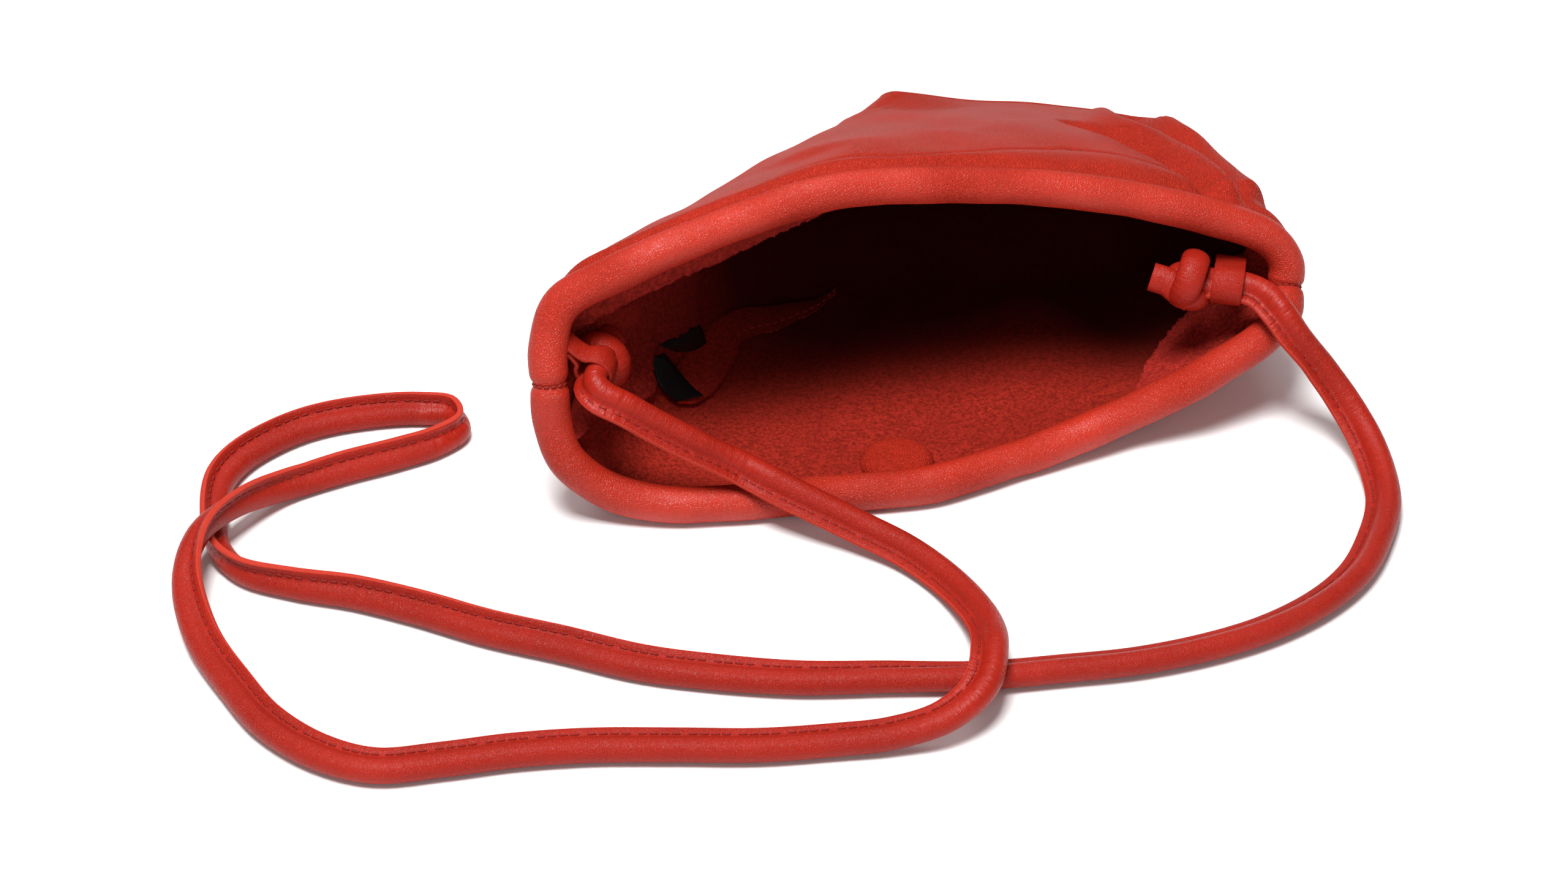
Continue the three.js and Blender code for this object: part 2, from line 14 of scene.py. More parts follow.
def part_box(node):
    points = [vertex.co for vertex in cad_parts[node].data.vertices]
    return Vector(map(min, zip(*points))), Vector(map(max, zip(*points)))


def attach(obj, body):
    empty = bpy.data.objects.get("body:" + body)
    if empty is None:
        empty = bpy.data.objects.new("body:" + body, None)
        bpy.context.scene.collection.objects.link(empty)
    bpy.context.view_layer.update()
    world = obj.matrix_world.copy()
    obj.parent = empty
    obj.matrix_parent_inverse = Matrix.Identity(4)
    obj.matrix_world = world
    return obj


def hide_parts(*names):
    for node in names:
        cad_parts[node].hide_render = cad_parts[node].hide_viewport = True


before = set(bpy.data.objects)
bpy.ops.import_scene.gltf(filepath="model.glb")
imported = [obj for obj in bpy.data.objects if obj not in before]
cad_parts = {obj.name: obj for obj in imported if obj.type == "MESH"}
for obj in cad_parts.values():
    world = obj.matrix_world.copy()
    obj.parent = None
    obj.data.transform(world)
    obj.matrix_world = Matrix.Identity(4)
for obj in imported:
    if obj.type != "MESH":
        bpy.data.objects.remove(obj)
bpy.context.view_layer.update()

log = logging.getLogger("pouch")

MM = 0.001
MOUTH_TO_PART = np.array([-2.4770, -64.0843, 0.0])
UP = np.array([0.0, 0.0, 1.0])
TO_VIEWER = np.array([-0.234, -0.774, 0.588])
Colour = tuple[float, float, float]
Place = tuple[float, float, float]


class Side(IntEnum):
    """The two panels, by the sign of their outward direction."""

    FRONT = 1
    BACK = -1

    @property
    def label(self) -> str:
        """The panel's word in names of pieces."""
        return self.name.lower()


class Grain(Enum):
    """Scales of leather grain, in cells a metre."""

    PEBBLED = 1250.0
    FINE = 1600.0


class StrapFace(IntEnum):
    """Material slots of rolled or cut leather."""

    GRAIN = 0
    RAW_EDGE = 1


class PanelFace(IntEnum):
    """Material slots of a panel."""

    GRAIN = 0
    SUEDE = 1
    RAW_EDGE = 2


def to_part(points: Sequence) -> np.ndarray:
    """Moves millimetres of the mouth's frame to metres of the part's frame."""
    return (np.asarray(points, float) + MOUTH_TO_PART) * MM


def unit(vectors: np.ndarray) -> np.ndarray:
    """Vectors at length one."""
    return vectors / np.maximum(np.linalg.norm(vectors, axis=-1, keepdims=True), 1e-12)


def ease(low: float, high: float, value: np.ndarray) -> np.ndarray:
    """Smooth step from 0 at low to 1 at high."""
    part = np.clip((value - low) / (high - low), 0, 1)
    return part * part * (3 - 2 * part)


def bell(distance: np.ndarray, width: np.ndarray) -> np.ndarray:
    """A smooth bump of height one."""
    return np.exp(-((distance / width) ** 2))


def smoothed(values: np.ndarray, count: int) -> np.ndarray:
    """Running mean over an odd count of values, with the ends held."""
    padded = np.pad(values, count // 2, mode="edge")
    return np.convolve(padded, np.ones(count) / count, mode="valid")


def curve_at(points: np.ndarray, closed: bool, shares: np.ndarray) -> np.ndarray:
    """Points of a centripetal Catmull-Rom curve.

    Args:
        points: The curve's own points, one a row.
        closed: Whether the last point joins the first.
        shares: Places on the curve, from 0 to 1, spread evenly over its spans.

    Returns:
        One point for each share.
    """
    points = np.asarray(points, float)
    count = len(points)
    spans = count if closed else count - 1
    place = np.asarray(shares, float) * spans
    start = np.floor(place).astype(int)
    if closed:
        near = [points[(start + k) % count] for k in (-1, 0, 1, 2)]
    else:
        start = np.clip(start, 0, spans - 1)
        padded = np.vstack([2 * points[0] - points[1], points, 2 * points[-1] - points[-2]])
        near = [padded[start + k] for k in (0, 1, 2, 3)]
    part = (place - start)[..., None]
    gaps = [np.sqrt(np.linalg.norm(near[k + 1] - near[k], axis=-1))[..., None] for k in range(3)]
    first, second = near[2] - near[1], near[1] - near[0]
    leave = gaps[1] * (second / gaps[0] - (near[2] - near[0]) / (gaps[0] + gaps[1]) + first / gaps[1])
    arrive = gaps[1] * (
        first / gaps[1] - (near[3] - near[1]) / (gaps[1] + gaps[2]) + (near[3] - near[2]) / gaps[2]
    )
    square = 3 * first - 2 * leave - arrive
    cube = -2 * first + leave + arrive
    return near[1] + part * (leave + part * (square + part * cube))


def run_lengths(points: np.ndarray) -> np.ndarray:
    """Length along a line of points up to each of them."""
    steps = np.linalg.norm(np.diff(points, axis=0), axis=-1)
    return np.concatenate([[0.0], np.cumsum(steps)])


def points_at(lengths: np.ndarray, rows: np.ndarray, wanted: np.ndarray) -> np.ndarray:
    """Reads a line of points or directions at wanted lengths.

    Args:
        lengths: Length along the line up to each row.
        rows: One point or direction a row.
        wanted: Lengths to read at.

    Returns:
        One row for each wanted length.
    """
    return np.stack([np.interp(wanted, lengths, rows[:, axis]) for axis in range(3)], axis=1)


def resample(points: np.ndarray, step: float) -> np.ndarray:
    """A smooth line through points, cut into equal steps.

    Args:
        points: Points that the line passes through.
        step: Wanted distance between the new points.

    Returns:
        The new points, both ends included.
    """
    dense = curve_at(points, False, np.linspace(0, 1, 40 * len(points)))
    lengths = run_lengths(dense)
    count = max(2, int(round(lengths[-1] / step)) + 1)
    wanted = np.linspace(0, lengths[-1], count)
    return points_at(lengths, dense, wanted)


def tangents_of(points: np.ndarray) -> np.ndarray:
    """Unit directions along a line of points."""
    return unit(np.gradient(points, axis=0))


def ripple(across: np.ndarray, along: np.ndarray, length: float) -> np.ndarray:
    """A fixed mild unevenness between about -1 and 1.

    Args:
        across: One coordinate.
        along: The other coordinate.
        length: Length of its waves, in the coordinates' unit.

    Returns:
        The unevenness at each place.
    """
    a, b = across / length * math.tau, along / length * math.tau
    waves = np.sin(0.71 * a + 0.4 * b + 0.3) + np.sin(1.13 * b - 0.35 * a + 1.9)
    waves = waves + 0.6 * np.sin(1.7 * a + 0.9 * b + 4.1) + 0.4 * np.sin(2.3 * b - 1.1 * a + 2.2)
    return waves / 3.0


def aim(thing: bpy.types.Object, place: Place, target: Place) -> None:
    """Links a camera or a light to the scene, at a place and turned to a target."""
    thing.location = place
    way = Vector(target) - Vector(place)
    thing.rotation_euler = way.to_track_quat("-Z", "Y").to_euler()
    bpy.context.collection.objects.link(thing)


@dataclass(frozen=True)
class View:
    """The camera that took the photograph."""

    place: Place = (-0.27988, -0.82379, 0.58779)
    target: Place = (-0.04604, -0.04930, 0.0)
    lens: float = 70.0
    sensor: float = 36.0

    def make(self) -> bpy.types.Object:
        """Adds the camera and makes it the scene's own.

        Returns:
            The camera object.
        """
        data = bpy.data.cameras.new("camera")
        data.lens = self.lens
        data.sensor_width = self.sensor
        camera = bpy.data.objects.new("camera", data)
        aim(camera, self.place, self.target)
        bpy.context.scene.camera = camera
        log.info("camera at %s", self.place)
        return camera


class NodeSheet:
    """One material and the nodes in it."""

    def __init__(self, name: str) -> None:
        """Starts an empty material.

        Args:
            name: The material's name.
        """
        self.material = bpy.data.materials.new(name)
        self.material.use_nodes = True
        self.tree = self.material.node_tree
        self.tree.nodes.clear()

    def add(self, kind: str, sockets: Optional[dict] = None, **settings) -> bpy.types.Node:
        """Adds a node.

        Args:
            kind: The node's type, without its prefix.
            sockets: Values or other nodes' outputs, by input name or index.
            settings: The node's own properties.

        Returns:
            The new node.
        """
        node = self.tree.nodes.new("ShaderNode" + kind)
        for key, value in settings.items():
            setattr(node, key, value)
        for key, value in (sockets or {}).items():
            if isinstance(value, bpy.types.NodeSocket):
                self.tree.links.new(value, node.inputs[key])
            else:
                node.inputs[key].default_value = value
        return node

    def maths(self, operation: str, first, second=0.0, third=0.0) -> bpy.types.NodeSocket:
        """Result of one sum on numbers or outputs."""
        return self.add("Math", {0: first, 1: second, 2: third}, operation=operation).outputs[0]

    def mixed(self, factor, first, second) -> bpy.types.NodeSocket:
        """Mix of two colours."""
        sockets = {"Factor": factor, 6: first, 7: second}
        return self.add("Mix", sockets, data_type="RGBA").outputs[2]

    def place(self) -> bpy.types.NodeSocket:
        """Places on the object itself."""
        return self.add("TexCoord").outputs["Object"]

    def noise(
        self, place, scale: float, detail: float, roughness: float = 0.5, distortion: float = 0.0
    ) -> bpy.types.NodeSocket:
        """Strength of a noise at each place."""
        sockets = {
            "Vector": place, "Scale": scale, "Detail": detail, "Roughness": roughness, "Distortion": distortion,
        }
        return self.add("TexNoise", sockets).outputs["Fac"]

    def ranged(
        self, value, low: float, high: float, to_low: float = 0.0, to_high: float = 1.0, smooth: bool = False
    ) -> bpy.types.NodeSocket:
        """A value moved from one range to another, and held at its ends."""
        sockets = {"Value": value, "From Min": low, "From Max": high, "To Min": to_low, "To Max": to_high}
        kind = "SMOOTHSTEP" if smooth else "LINEAR"
        return self.add("MapRange", sockets, interpolation_type=kind).outputs[0]

    def bump(self, distance: float, height, strength=1.0, normal=None) -> bpy.types.NodeSocket:
        """Normals of a surface with a height on it, over other normals if given."""
        sockets = {"Strength": strength, "Distance": distance, "Height": height}
        if normal is not None:
            sockets["Normal"] = normal
        return self.add("Bump", sockets).outputs[0]

    def finish(self, shader: bpy.types.NodeSocket) -> bpy.types.Material:
        """Ends the material with its surface.

        Args:
            shader: The surface's shader output.

        Returns:
            The material.
        """
        self.add("OutputMaterial", {"Surface": shader})
        return self.material

    def surface(self, sockets: dict) -> bpy.types.Material:
        """Ends the material with a principled surface."""
        return self.finish(self.add("BsdfPrincipled", sockets).outputs[0])


def rgba(colour: Colour) -> tuple[float, float, float, float]:
    """A colour with full cover."""
    return (*colour, 1.0)


def shade(colour: Colour, factor: float) -> tuple[float, float, float, float]:
    """A colour made darker or lighter."""
    return (*(min(1.0, part * factor) for part in colour), 1.0)


@dataclass(frozen=True)
class Leather:
    """Dyed grain leather, with cross wrinkles where the mesh says so, and painted shade in its grain grooves
    and crease hollows.
    """

    name: str
    colour: Colour
    grain: Grain
    grain_height: float
    roughness: float
    shine: float
    polish: float
    wrinkle_pitch: float
    wrinkle_height: float
    sway: float = 0.0007
    sway_ratio: float = 0.6
    pore_ratio: float = 3.4
    patch_scale: float = 26.0
    blotch_scale: float = 210.0
    wrinkle_stretch: float = 0.2

    def make(self) -> bpy.types.Material:
        """Builds the material.

        Returns:
            The material. Its cross wrinkles follow the mesh's UV map, where U runs along the roll, and
            are as strong as the mesh's attribute of wrinkle strength and painted shade, which also sets the
            painted shade in their hollows.
        """
        sheet = NodeSheet(self.name)
        place = sheet.place()
        scale = self.grain.value
        sway = sheet.add("TexNoise", {"Vector": place, "Scale": scale * self.sway_ratio, "Detail": 1.0})
        swayed = sheet.add(
            "VectorMath", {0: sway.outputs["Color"], 1: (self.sway,) * 3, 2: place}, operation="MULTIPLY_ADD"
        ).outputs[0]
        edges = sheet.add(
            "TexVoronoi", {"Vector": swayed, "Scale": scale}, feature="DISTANCE_TO_EDGE"
        ).outputs["Distance"]
        pebbles = sheet.ranged(edges, 0.0, 0.3, smooth=True)
        pores = sheet.noise(place, scale * self.pore_ratio, 3.0, 0.6)
        patches = sheet.noise(place, self.patch_scale, 4.0)
        blotch = sheet.noise(place, self.blotch_scale, 3.0)
        tone = sheet.ranged(patches, 0.3, 0.7)
        body = sheet.mixed(tone, shade(self.colour, 0.86), shade(self.colour, 1.1))
        speck = sheet.ranged(blotch, 0.56, 0.8, 0.0, 0.35)
        body = sheet.mixed(speck, body, shade(self.colour, 1.28))
        # Painted shade in the grain's grooves, standing in for the shading of the pebbles; less of it where
        # wrinkles are strong.
        painted_groove_shade = sheet.ranged(edges, 0.0, 0.18, 0.65, 0.0)
        strength = sheet.add("Attribute", attribute_name="wrinkle_and_painted_shade").outputs["Fac"]
        firm = sheet.maths("MULTIPLY_ADD", strength, -0.7, 1.0)
        body = sheet.mixed(sheet.maths("MULTIPLY", painted_groove_shade, firm), body, shade(self.colour, 0.5))

        chart = sheet.add("UVMap").outputs[0]
        pitch = (self.wrinkle_pitch, self.wrinkle_pitch * self.wrinkle_stretch, 0.0)
        stretched = sheet.add("VectorMath", {0: chart, 1: pitch}, operation="MULTIPLY").outputs[0]
        creases = sheet.noise(stretched, 1.0, 2.5, 0.55, 0.25)
        crease = sheet.maths("MULTIPLY", creases, strength)
        # Painted shade in the hollows of the cross wrinkles.
        hollow = sheet.maths("SUBTRACT", 0.62, creases)
        tone_and_crease_shade = sheet.maths("MULTIPLY", strength, 0.6)
        body = sheet.mixed(sheet.maths("MULTIPLY", hollow, tone_and_crease_shade), body, shade(self.colour, 0.62))
        wrinkled = sheet.bump(self.wrinkle_height, crease)
        height = sheet.maths("MULTIPLY_ADD", pores, 0.4, pebbles)
        grained = sheet.bump(self.grain_height, height, firm, wrinkled)
        rough = sheet.maths("MULTIPLY_ADD", patches, 0.14, self.roughness - 0.07)
        rough = sheet.maths("MULTIPLY_ADD", strength, self.polish * -0.4, rough)
        shine = sheet.maths("MULTIPLY_ADD", strength, self.polish, self.shine)
        return sheet.surface(
            {"Base Color": body, "Roughness": rough, "Normal": grained, "Specular IOR Level": shine}
        )


@dataclass(frozen=True)
class Suede:
    """The flesh side of leather, or a cut edge of it."""

    name: str
    colour: Colour
    nap: float
    nap_height: float
    contrast: float
    # Colour factor of the painted shade where the attribute is one.
    deep: float = 0.16
    tuft_ratio: float = 0.32
    brush_scale: float = 34.0

    def make(self) -> bpy.types.Material:
        """Builds the material.

        Returns:
            The material, with a mottled nap. Where the mesh's attribute of wrinkle strength and painted
            shade is high, it is unbrushed and carries painted shade that darkens it towards its deep colour.
        """
        sheet = NodeSheet(self.name)
        place = sheet.place()
        nap = sheet.noise(place, self.nap, 4.0, 0.7)
        tufts = sheet.noise(place, self.nap * self.tuft_ratio, 3.0, 0.65)
        brushed = sheet.noise(place, self.brush_scale, 3.0)
        mottle = sheet.maths("MULTIPLY_ADD", tufts, 0.6, sheet.maths("MULTIPLY", nap, 0.4))
        dull, bright = shade(self.colour, 1 - self.contrast), shade(self.colour, 1 + self.contrast * 0.7)
        body = sheet.mixed(sheet.ranged(mottle, 0.41, 0.6), dull, bright)
        body = sheet.mixed(sheet.ranged(brushed, 0.35, 0.7, 0.0, 0.4), body, shade(self.colour, 0.7))
        # Painted shade: the nap darkens towards the deep colour where the attribute is high, deep inside the
        # pouch.
        deep = sheet.add("Attribute", attribute_name="wrinkle_and_painted_shade").outputs["Fac"]
        body = sheet.mixed(deep, body, shade(self.colour, self.deep))
        height = sheet.maths("MULTIPLY_ADD", tufts, 0.8, nap)
        normal = sheet.bump(self.nap_height, height)
        return sheet.surface(
            {"Base Color": body, "Roughness": 0.95, "Normal": normal, "Specular IOR Level": 0.05}
        )


@dataclass(frozen=True)
class Weave:
    """Fine woven stuff: satin, thread or felt."""

    name: str
    colour: Colour
    threads: float
    roughness: float
    height: float
    contrast: float = 0.3

    def make(self) -> bpy.types.Material:
        """Builds the material.

        Returns:
            The material, with crossing threads.
        """
        sheet = NodeSheet(self.name)
        place = sheet.place()
        warp = sheet.add(
            "TexWave", {"Vector": place, "Scale": self.threads, "Distortion": 1.2}, bands_direction="DIAGONAL"
        ).outputs["Fac"]
        weft = sheet.noise(place, self.threads * 2.2, 2.0)
        height = sheet.maths("MULTIPLY", warp, weft)
        tone_and_crease_shade = sheet.maths("MULTIPLY", weft, self.contrast)
        body = sheet.mixed(tone_and_crease_shade, rgba(self.colour), shade(self.colour, 1.9))
        normal = sheet.bump(self.height, height, 0.8)
        rough = sheet.maths("MULTIPLY_ADD", weft, 0.2, self.roughness - 0.1)
        return sheet.surface(
            {"Base Color": body, "Roughness": rough, "Normal": normal, "Specular IOR Level": 0.3}
        )


@dataclass(frozen=True)
class Plating:
    """Plated metal with faint brushing."""

    name: str
    colour: Colour
    roughness: float

    def make(self) -> bpy.types.Material:
        """Builds the material.

        Returns:
            The material.
        """
        sheet = NodeSheet(self.name)
        marks = sheet.noise(sheet.place(), 900.0, 3.0)
        rough = sheet.maths("MULTIPLY_ADD", marks, 0.2, self.roughness - 0.1)
        body = sheet.mixed(marks, shade(self.colour, 0.85), rgba(self.colour))
        return sheet.surface({"Base Color": body, "Roughness": rough, "Metallic": 1.0})


@dataclass(frozen=True)
class Backdrop:
    """A plain pale floor."""

    name: str = "floor_white"
    colour: Colour = (0.93, 0.93, 0.93)
    plain_to: float = 0.55
    white_from: float = 1.3

    def make(self) -> bpy.types.Material:
        """Builds the material.

        Returns:
            The material.
        """
        sheet = NodeSheet(self.name)
        place = sheet.place()
        grain = sheet.noise(place, 40.0, 2.0)
        body = sheet.mixed(grain, shade(self.colour, 0.995), rgba(self.colour))
        lit = sheet.add("BsdfDiffuse", {"Color": body}).outputs[0]
        away = sheet.add("VectorMath", {0: place}, operation="LENGTH").outputs["Value"]
        far = sheet.ranged(away, self.plain_to, self.white_from, smooth=True)
        seen = sheet.add("LightPath").outputs["Is Camera Ray"]
        white = sheet.add("Emission", {"Strength": 1.1}).outputs[0]
        shader = sheet.add("MixShader", {0: sheet.maths("MULTIPLY", far, seen), 1: lit, 2: white})
        return sheet.finish(shader.outputs[0])


@dataclass
class Finishes:
    """Every material of the pouch."""

    panel: bpy.types.Material = field(init=False)
    strap: bpy.types.Material = field(init=False)
    suede: bpy.types.Material = field(init=False)
    patch: bpy.types.Material = field(init=False)
    raw_edge: bpy.types.Material = field(init=False)
    thread: bpy.types.Material = field(init=False)
    satin: bpy.types.Material = field(init=False)
    felt: bpy.types.Material = field(init=False)
    nickel: bpy.types.Material = field(init=False)

    def __post_init__(self) -> None:
        """Builds them all."""
        self.panel = Leather(
            "panel_leather", (0.52, 0.027, 0.011), Grain.PEBBLED, 0.0003, 0.5, 0.14, 0.3, 1000.0, 0.00022
        ).make()
        self.strap = Leather(
            "strap_leather", (0.38, 0.016, 0.007), Grain.FINE, 0.00012, 0.4, 0.15, 0.08, 620.0, 0.0007
        ).make()
        self.suede = Suede("suede", (0.4, 0.026, 0.015), 2700.0, 0.0006, 0.48).make()
        # Painted light: a brighter copy of the suede that makes the facing and patches look lit.
        self.patch = Suede("painted_lit_patch_suede", (0.62, 0.042, 0.03), 2300.0, 0.0009, 0.5).make()
        self.raw_edge = Suede("raw_edge", (0.5, 0.045, 0.028), 3000.0, 0.0001, 0.15, 1.0).make()
        self.thread = Weave("thread", (0.24, 0.011, 0.007), 2400.0, 0.6, 0.0001).make()
        self.satin = Weave("satin", (0.004, 0.0035, 0.004), 1800.0, 0.3, 0.00006, 0.2).make()
        self.felt = Weave("felt", (0.7, 0.66, 0.6), 700.0, 0.95, 0.0004).make()
        self.nickel = Plating("nickel", (0.6, 0.6, 0.58), 0.3).make()


@dataclass
class Surface:
    """A mesh under construction, in metres."""

    points: list = field(default_factory=list)
    faces: list = field(default_factory=list)
    kinds: list = field(default_factory=list)
    chart: list = field(default_factory=list)
    wrinkle_and_painted_shade: list = field(default_factory=list)

    def add_points(self, points: np.ndarray, chart: np.ndarray, wrinkle_and_painted_shade: np.ndarray) -> int:
        """Adds points with their chart places and wrinkle strengths, which on suede set its painted shade.

        Args:
            points: One point a row, in metres.
            chart: Chart place of each point, in metres.
            wrinkle_and_painted_shade: Strength of the cross wrinkles at each point, which on suede is the
                strength of its painted shade.

        Returns:
            Index of the first new point.
        """
        first = len(self.points)
        self.points.extend(map(tuple, points))
        self.chart.extend(map(tuple, chart))
        self.wrinkle_and_painted_shade.extend(map(float, wrinkle_and_painted_shade))
        return first

    def add_face(self, corners: Sequence[int], kind: int = 0) -> None:
        """Adds one face."""
        self.faces.append(tuple(int(corner) for corner in corners))
        self.kinds.append(int(kind))

    def add_grid(self, first: int, across: int, down: int, kind: int, flip: bool, around: bool = False) -> None:
        """Adds faces over a grid of points.

        Args:
            first: Index of the grid's first point.
            across: Number of columns.
            down: Number of points in a column.
            kind: Material slot.
            flip: Whether the faces turn the other way.
            around: Whether the last point of a column joins its first.
        """
        last = down if around else down - 1
        for j in range(across - 1):
            for i in range(last):
                k = (i + 1) % down
                corners = [
                    first + j * down + i,
                    first + (j + 1) * down + i,
                    first + (j + 1) * down + k,
                    first + j * down + k,
                ]
                self.add_face(corners[::-1] if flip else corners, kind)

    def close_edges(self, first: int, second: int, across: int, down: int, kind: int) -> None:
        """Joins the borders of two grids of the same size.

        Args:
            first: Index of one grid's first point.
            second: Index of the other grid's first point.
            across: Number of columns.
            down: Number of points in a column.
            kind: Material slot.
        """
        for j in range(across - 1):
            for i in (0, down - 1):
                here, there = j * down + i, (j + 1) * down + i
                self.add_face((first + here, first + there, second + there, second + here), kind)
        for i in range(down - 1):
            for j in (0, across - 1):
                here = j * down + i
                corners = (first + here, first + here + 1, second + here + 1, second + here)
                self.add_face(corners, kind)

    def build(self, name: str, materials: Sequence[bpy.types.Material]) -> bpy.types.Object:
        """Makes the object.

        Args:
            name: The object's name.
            materials: One material for each slot.

        Returns:
            The object, linked to the scene, at the origin.
        """
        mesh = bpy.data.meshes.new(name)
        mesh.from_pydata(self.points, [], self.faces)
        for material in materials:
            mesh.materials.append(material)
        mesh.polygons.foreach_set("material_index", self.kinds)
        mesh.polygons.foreach_set("use_smooth", [True] * len(self.faces))
        chart = mesh.uv_layers.new(name="UVMap")
        corners = np.empty(len(mesh.loops), dtype=np.int32)
        mesh.loops.foreach_get("vertex_index", corners)
        chart.data.foreach_set("uv", np.asarray(self.chart, dtype=np.float32)[corners].ravel())
        layer = mesh.attributes.new("wrinkle_and_painted_shade", "FLOAT", "POINT")
        layer.data.foreach_set("value", np.asarray(self.wrinkle_and_painted_shade, dtype=np.float32))
        mesh.update()
        piece = bpy.data.objects.new(name, mesh)
        bpy.context.collection.objects.link(piece)
        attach(piece, "root")
        log.info("%s: %d points, %d faces", name, len(self.points), len(self.faces))
        return piece


def turn_outwards(piece: bpy.types.Object) -> None:
    """Turns a closed mesh's faces outwards."""
    work = bmesh.new()
    work.from_mesh(piece.data)
    bmesh.ops.recalc_face_normals(work, faces=work.faces)
    work.to_mesh(piece.data)
    work.free()


@dataclass
class Stitches:
    """A row of thread stitches that lie on a surface."""

    length: float = 2.4
    radius: float = 0.33
    sides: int = 6

    def build(
        self, name: str, centres: np.ndarray, ways: np.ndarray, material: bpy.types.Material
    ) -> bpy.types.Object:
        """Makes the row.

        Args:
            name: The piece's name.
            centres: Middle of each stitch, in millimetres of the mouth's frame.
            ways: Unit direction of each stitch.
            material: The thread.

        Returns:
            The piece.
        """
        surface = Surface()
        angles = np.linspace(0, math.tau, self.sides, endpoint=False)
        rings = [(-0.5, 0.35), (-0.32, 1.0), (0.32, 1.0), (0.5, 0.35)]
        for centre, way in zip(centres, ways):
            side = unit(np.cross(way, UP if abs(way[2]) < 0.9 else np.array([1.0, 0, 0])))
            lift = np.cross(side, way)
            around = np.cos(angles)[:, None] * side + np.sin(angles)[:, None] * lift
            points = np.concatenate(
                [centre + way * self.length * at + around * self.radius * wide for at, wide in rings]
            )
            chart = np.zeros((len(points), 2))
            first = surface.add_points(to_part(points), chart, np.zeros(len(points)))
            surface.add_grid(first, len(rings), self.sides, 0, False, around=True)
            surface.add_face(range(first, first + self.sides))
            last = first + (len(rings) - 1) * self.sides
            surface.add_face(range(last + self.sides - 1, last - 1, -1))
        piece = surface.build(name, [material])
        turn_outwards(piece)
        return piece


@dataclass
class Sweep:
    """A section carried along a line."""

    path: np.ndarray
    sides: np.ndarray
    lifts: np.ndarray
    section: np.ndarray
    section_kinds: Sequence[int]
    wrinkle_and_painted_shade: np.ndarray

    def build(self, name: str, materials: Sequence[bpy.types.Material]) -> bpy.types.Object:
        """Makes the swept piece, closed at both ends.

        Args:
            name: The piece's name.
            materials: One material for each kind of section edge.

        Returns:
            The piece.
        """
        surface = Surface()
        rings, around = len(self.path), len(self.section)
        girth = run_lengths(np.vstack([self.section, self.section[:1]]))[:-1]
        run = run_lengths(self.path)
        points = (
            self.path[:, None, :]
            + self.sides[:, None, :] * self.section[None, :, 0, None]
            + self.lifts[:, None, :] * self.section[None, :, 1, None]
        )
        chart = np.stack(np.broadcast_arrays(run[:, None], girth[None, :]), axis=-1) * MM
        strength = np.broadcast_to(self.wrinkle_and_painted_shade[:, None], (rings, around))
        first = surface.add_points(to_part(points.reshape(-1, 3)), chart.reshape(-1, 2), strength.ravel())
        for j in range(rings - 1):
            for i in range(around):
                k = (i + 1) % around
                corners = (j * around + i, (j + 1) * around + i, (j + 1) * around + k, j * around + k)
                surface.add_face([first + corner for corner in corners], self.section_kinds[i])
        surface.add_face(range(first, first + around), StrapFace.RAW_EDGE)
        last = first + (rings - 1) * around
        surface.add_face(range(last + around - 1, last - 1, -1), StrapFace.RAW_EDGE)
        piece = surface.build(name, materials)
        turn_outwards(piece)
        return piece


def round_section(radius: float, sides: int) -> np.ndarray:
    """A round section."""
    angles = np.linspace(0, math.tau, sides, endpoint=False)
    return np.stack([np.cos(angles), np.sin(angles)], axis=1) * radius


def carried_frames(path: np.ndarray, start: np.ndarray) -> tuple[np.ndarray, np.ndarray]:
    """Side and lift directions along a line, turned as little as possible.

    Args:
        path: Points of the line.
        start: Direction that the first side is near.

    Returns:
        The sides and the lifts.
    """
    ways = tangents_of(path)
    sides = np.empty_like(path)
    side = start
    for index, way in enumerate(ways):
        side = unit(side - way * np.dot(side, way))
        sides[index] = side
    return sides, np.cross(ways, sides)


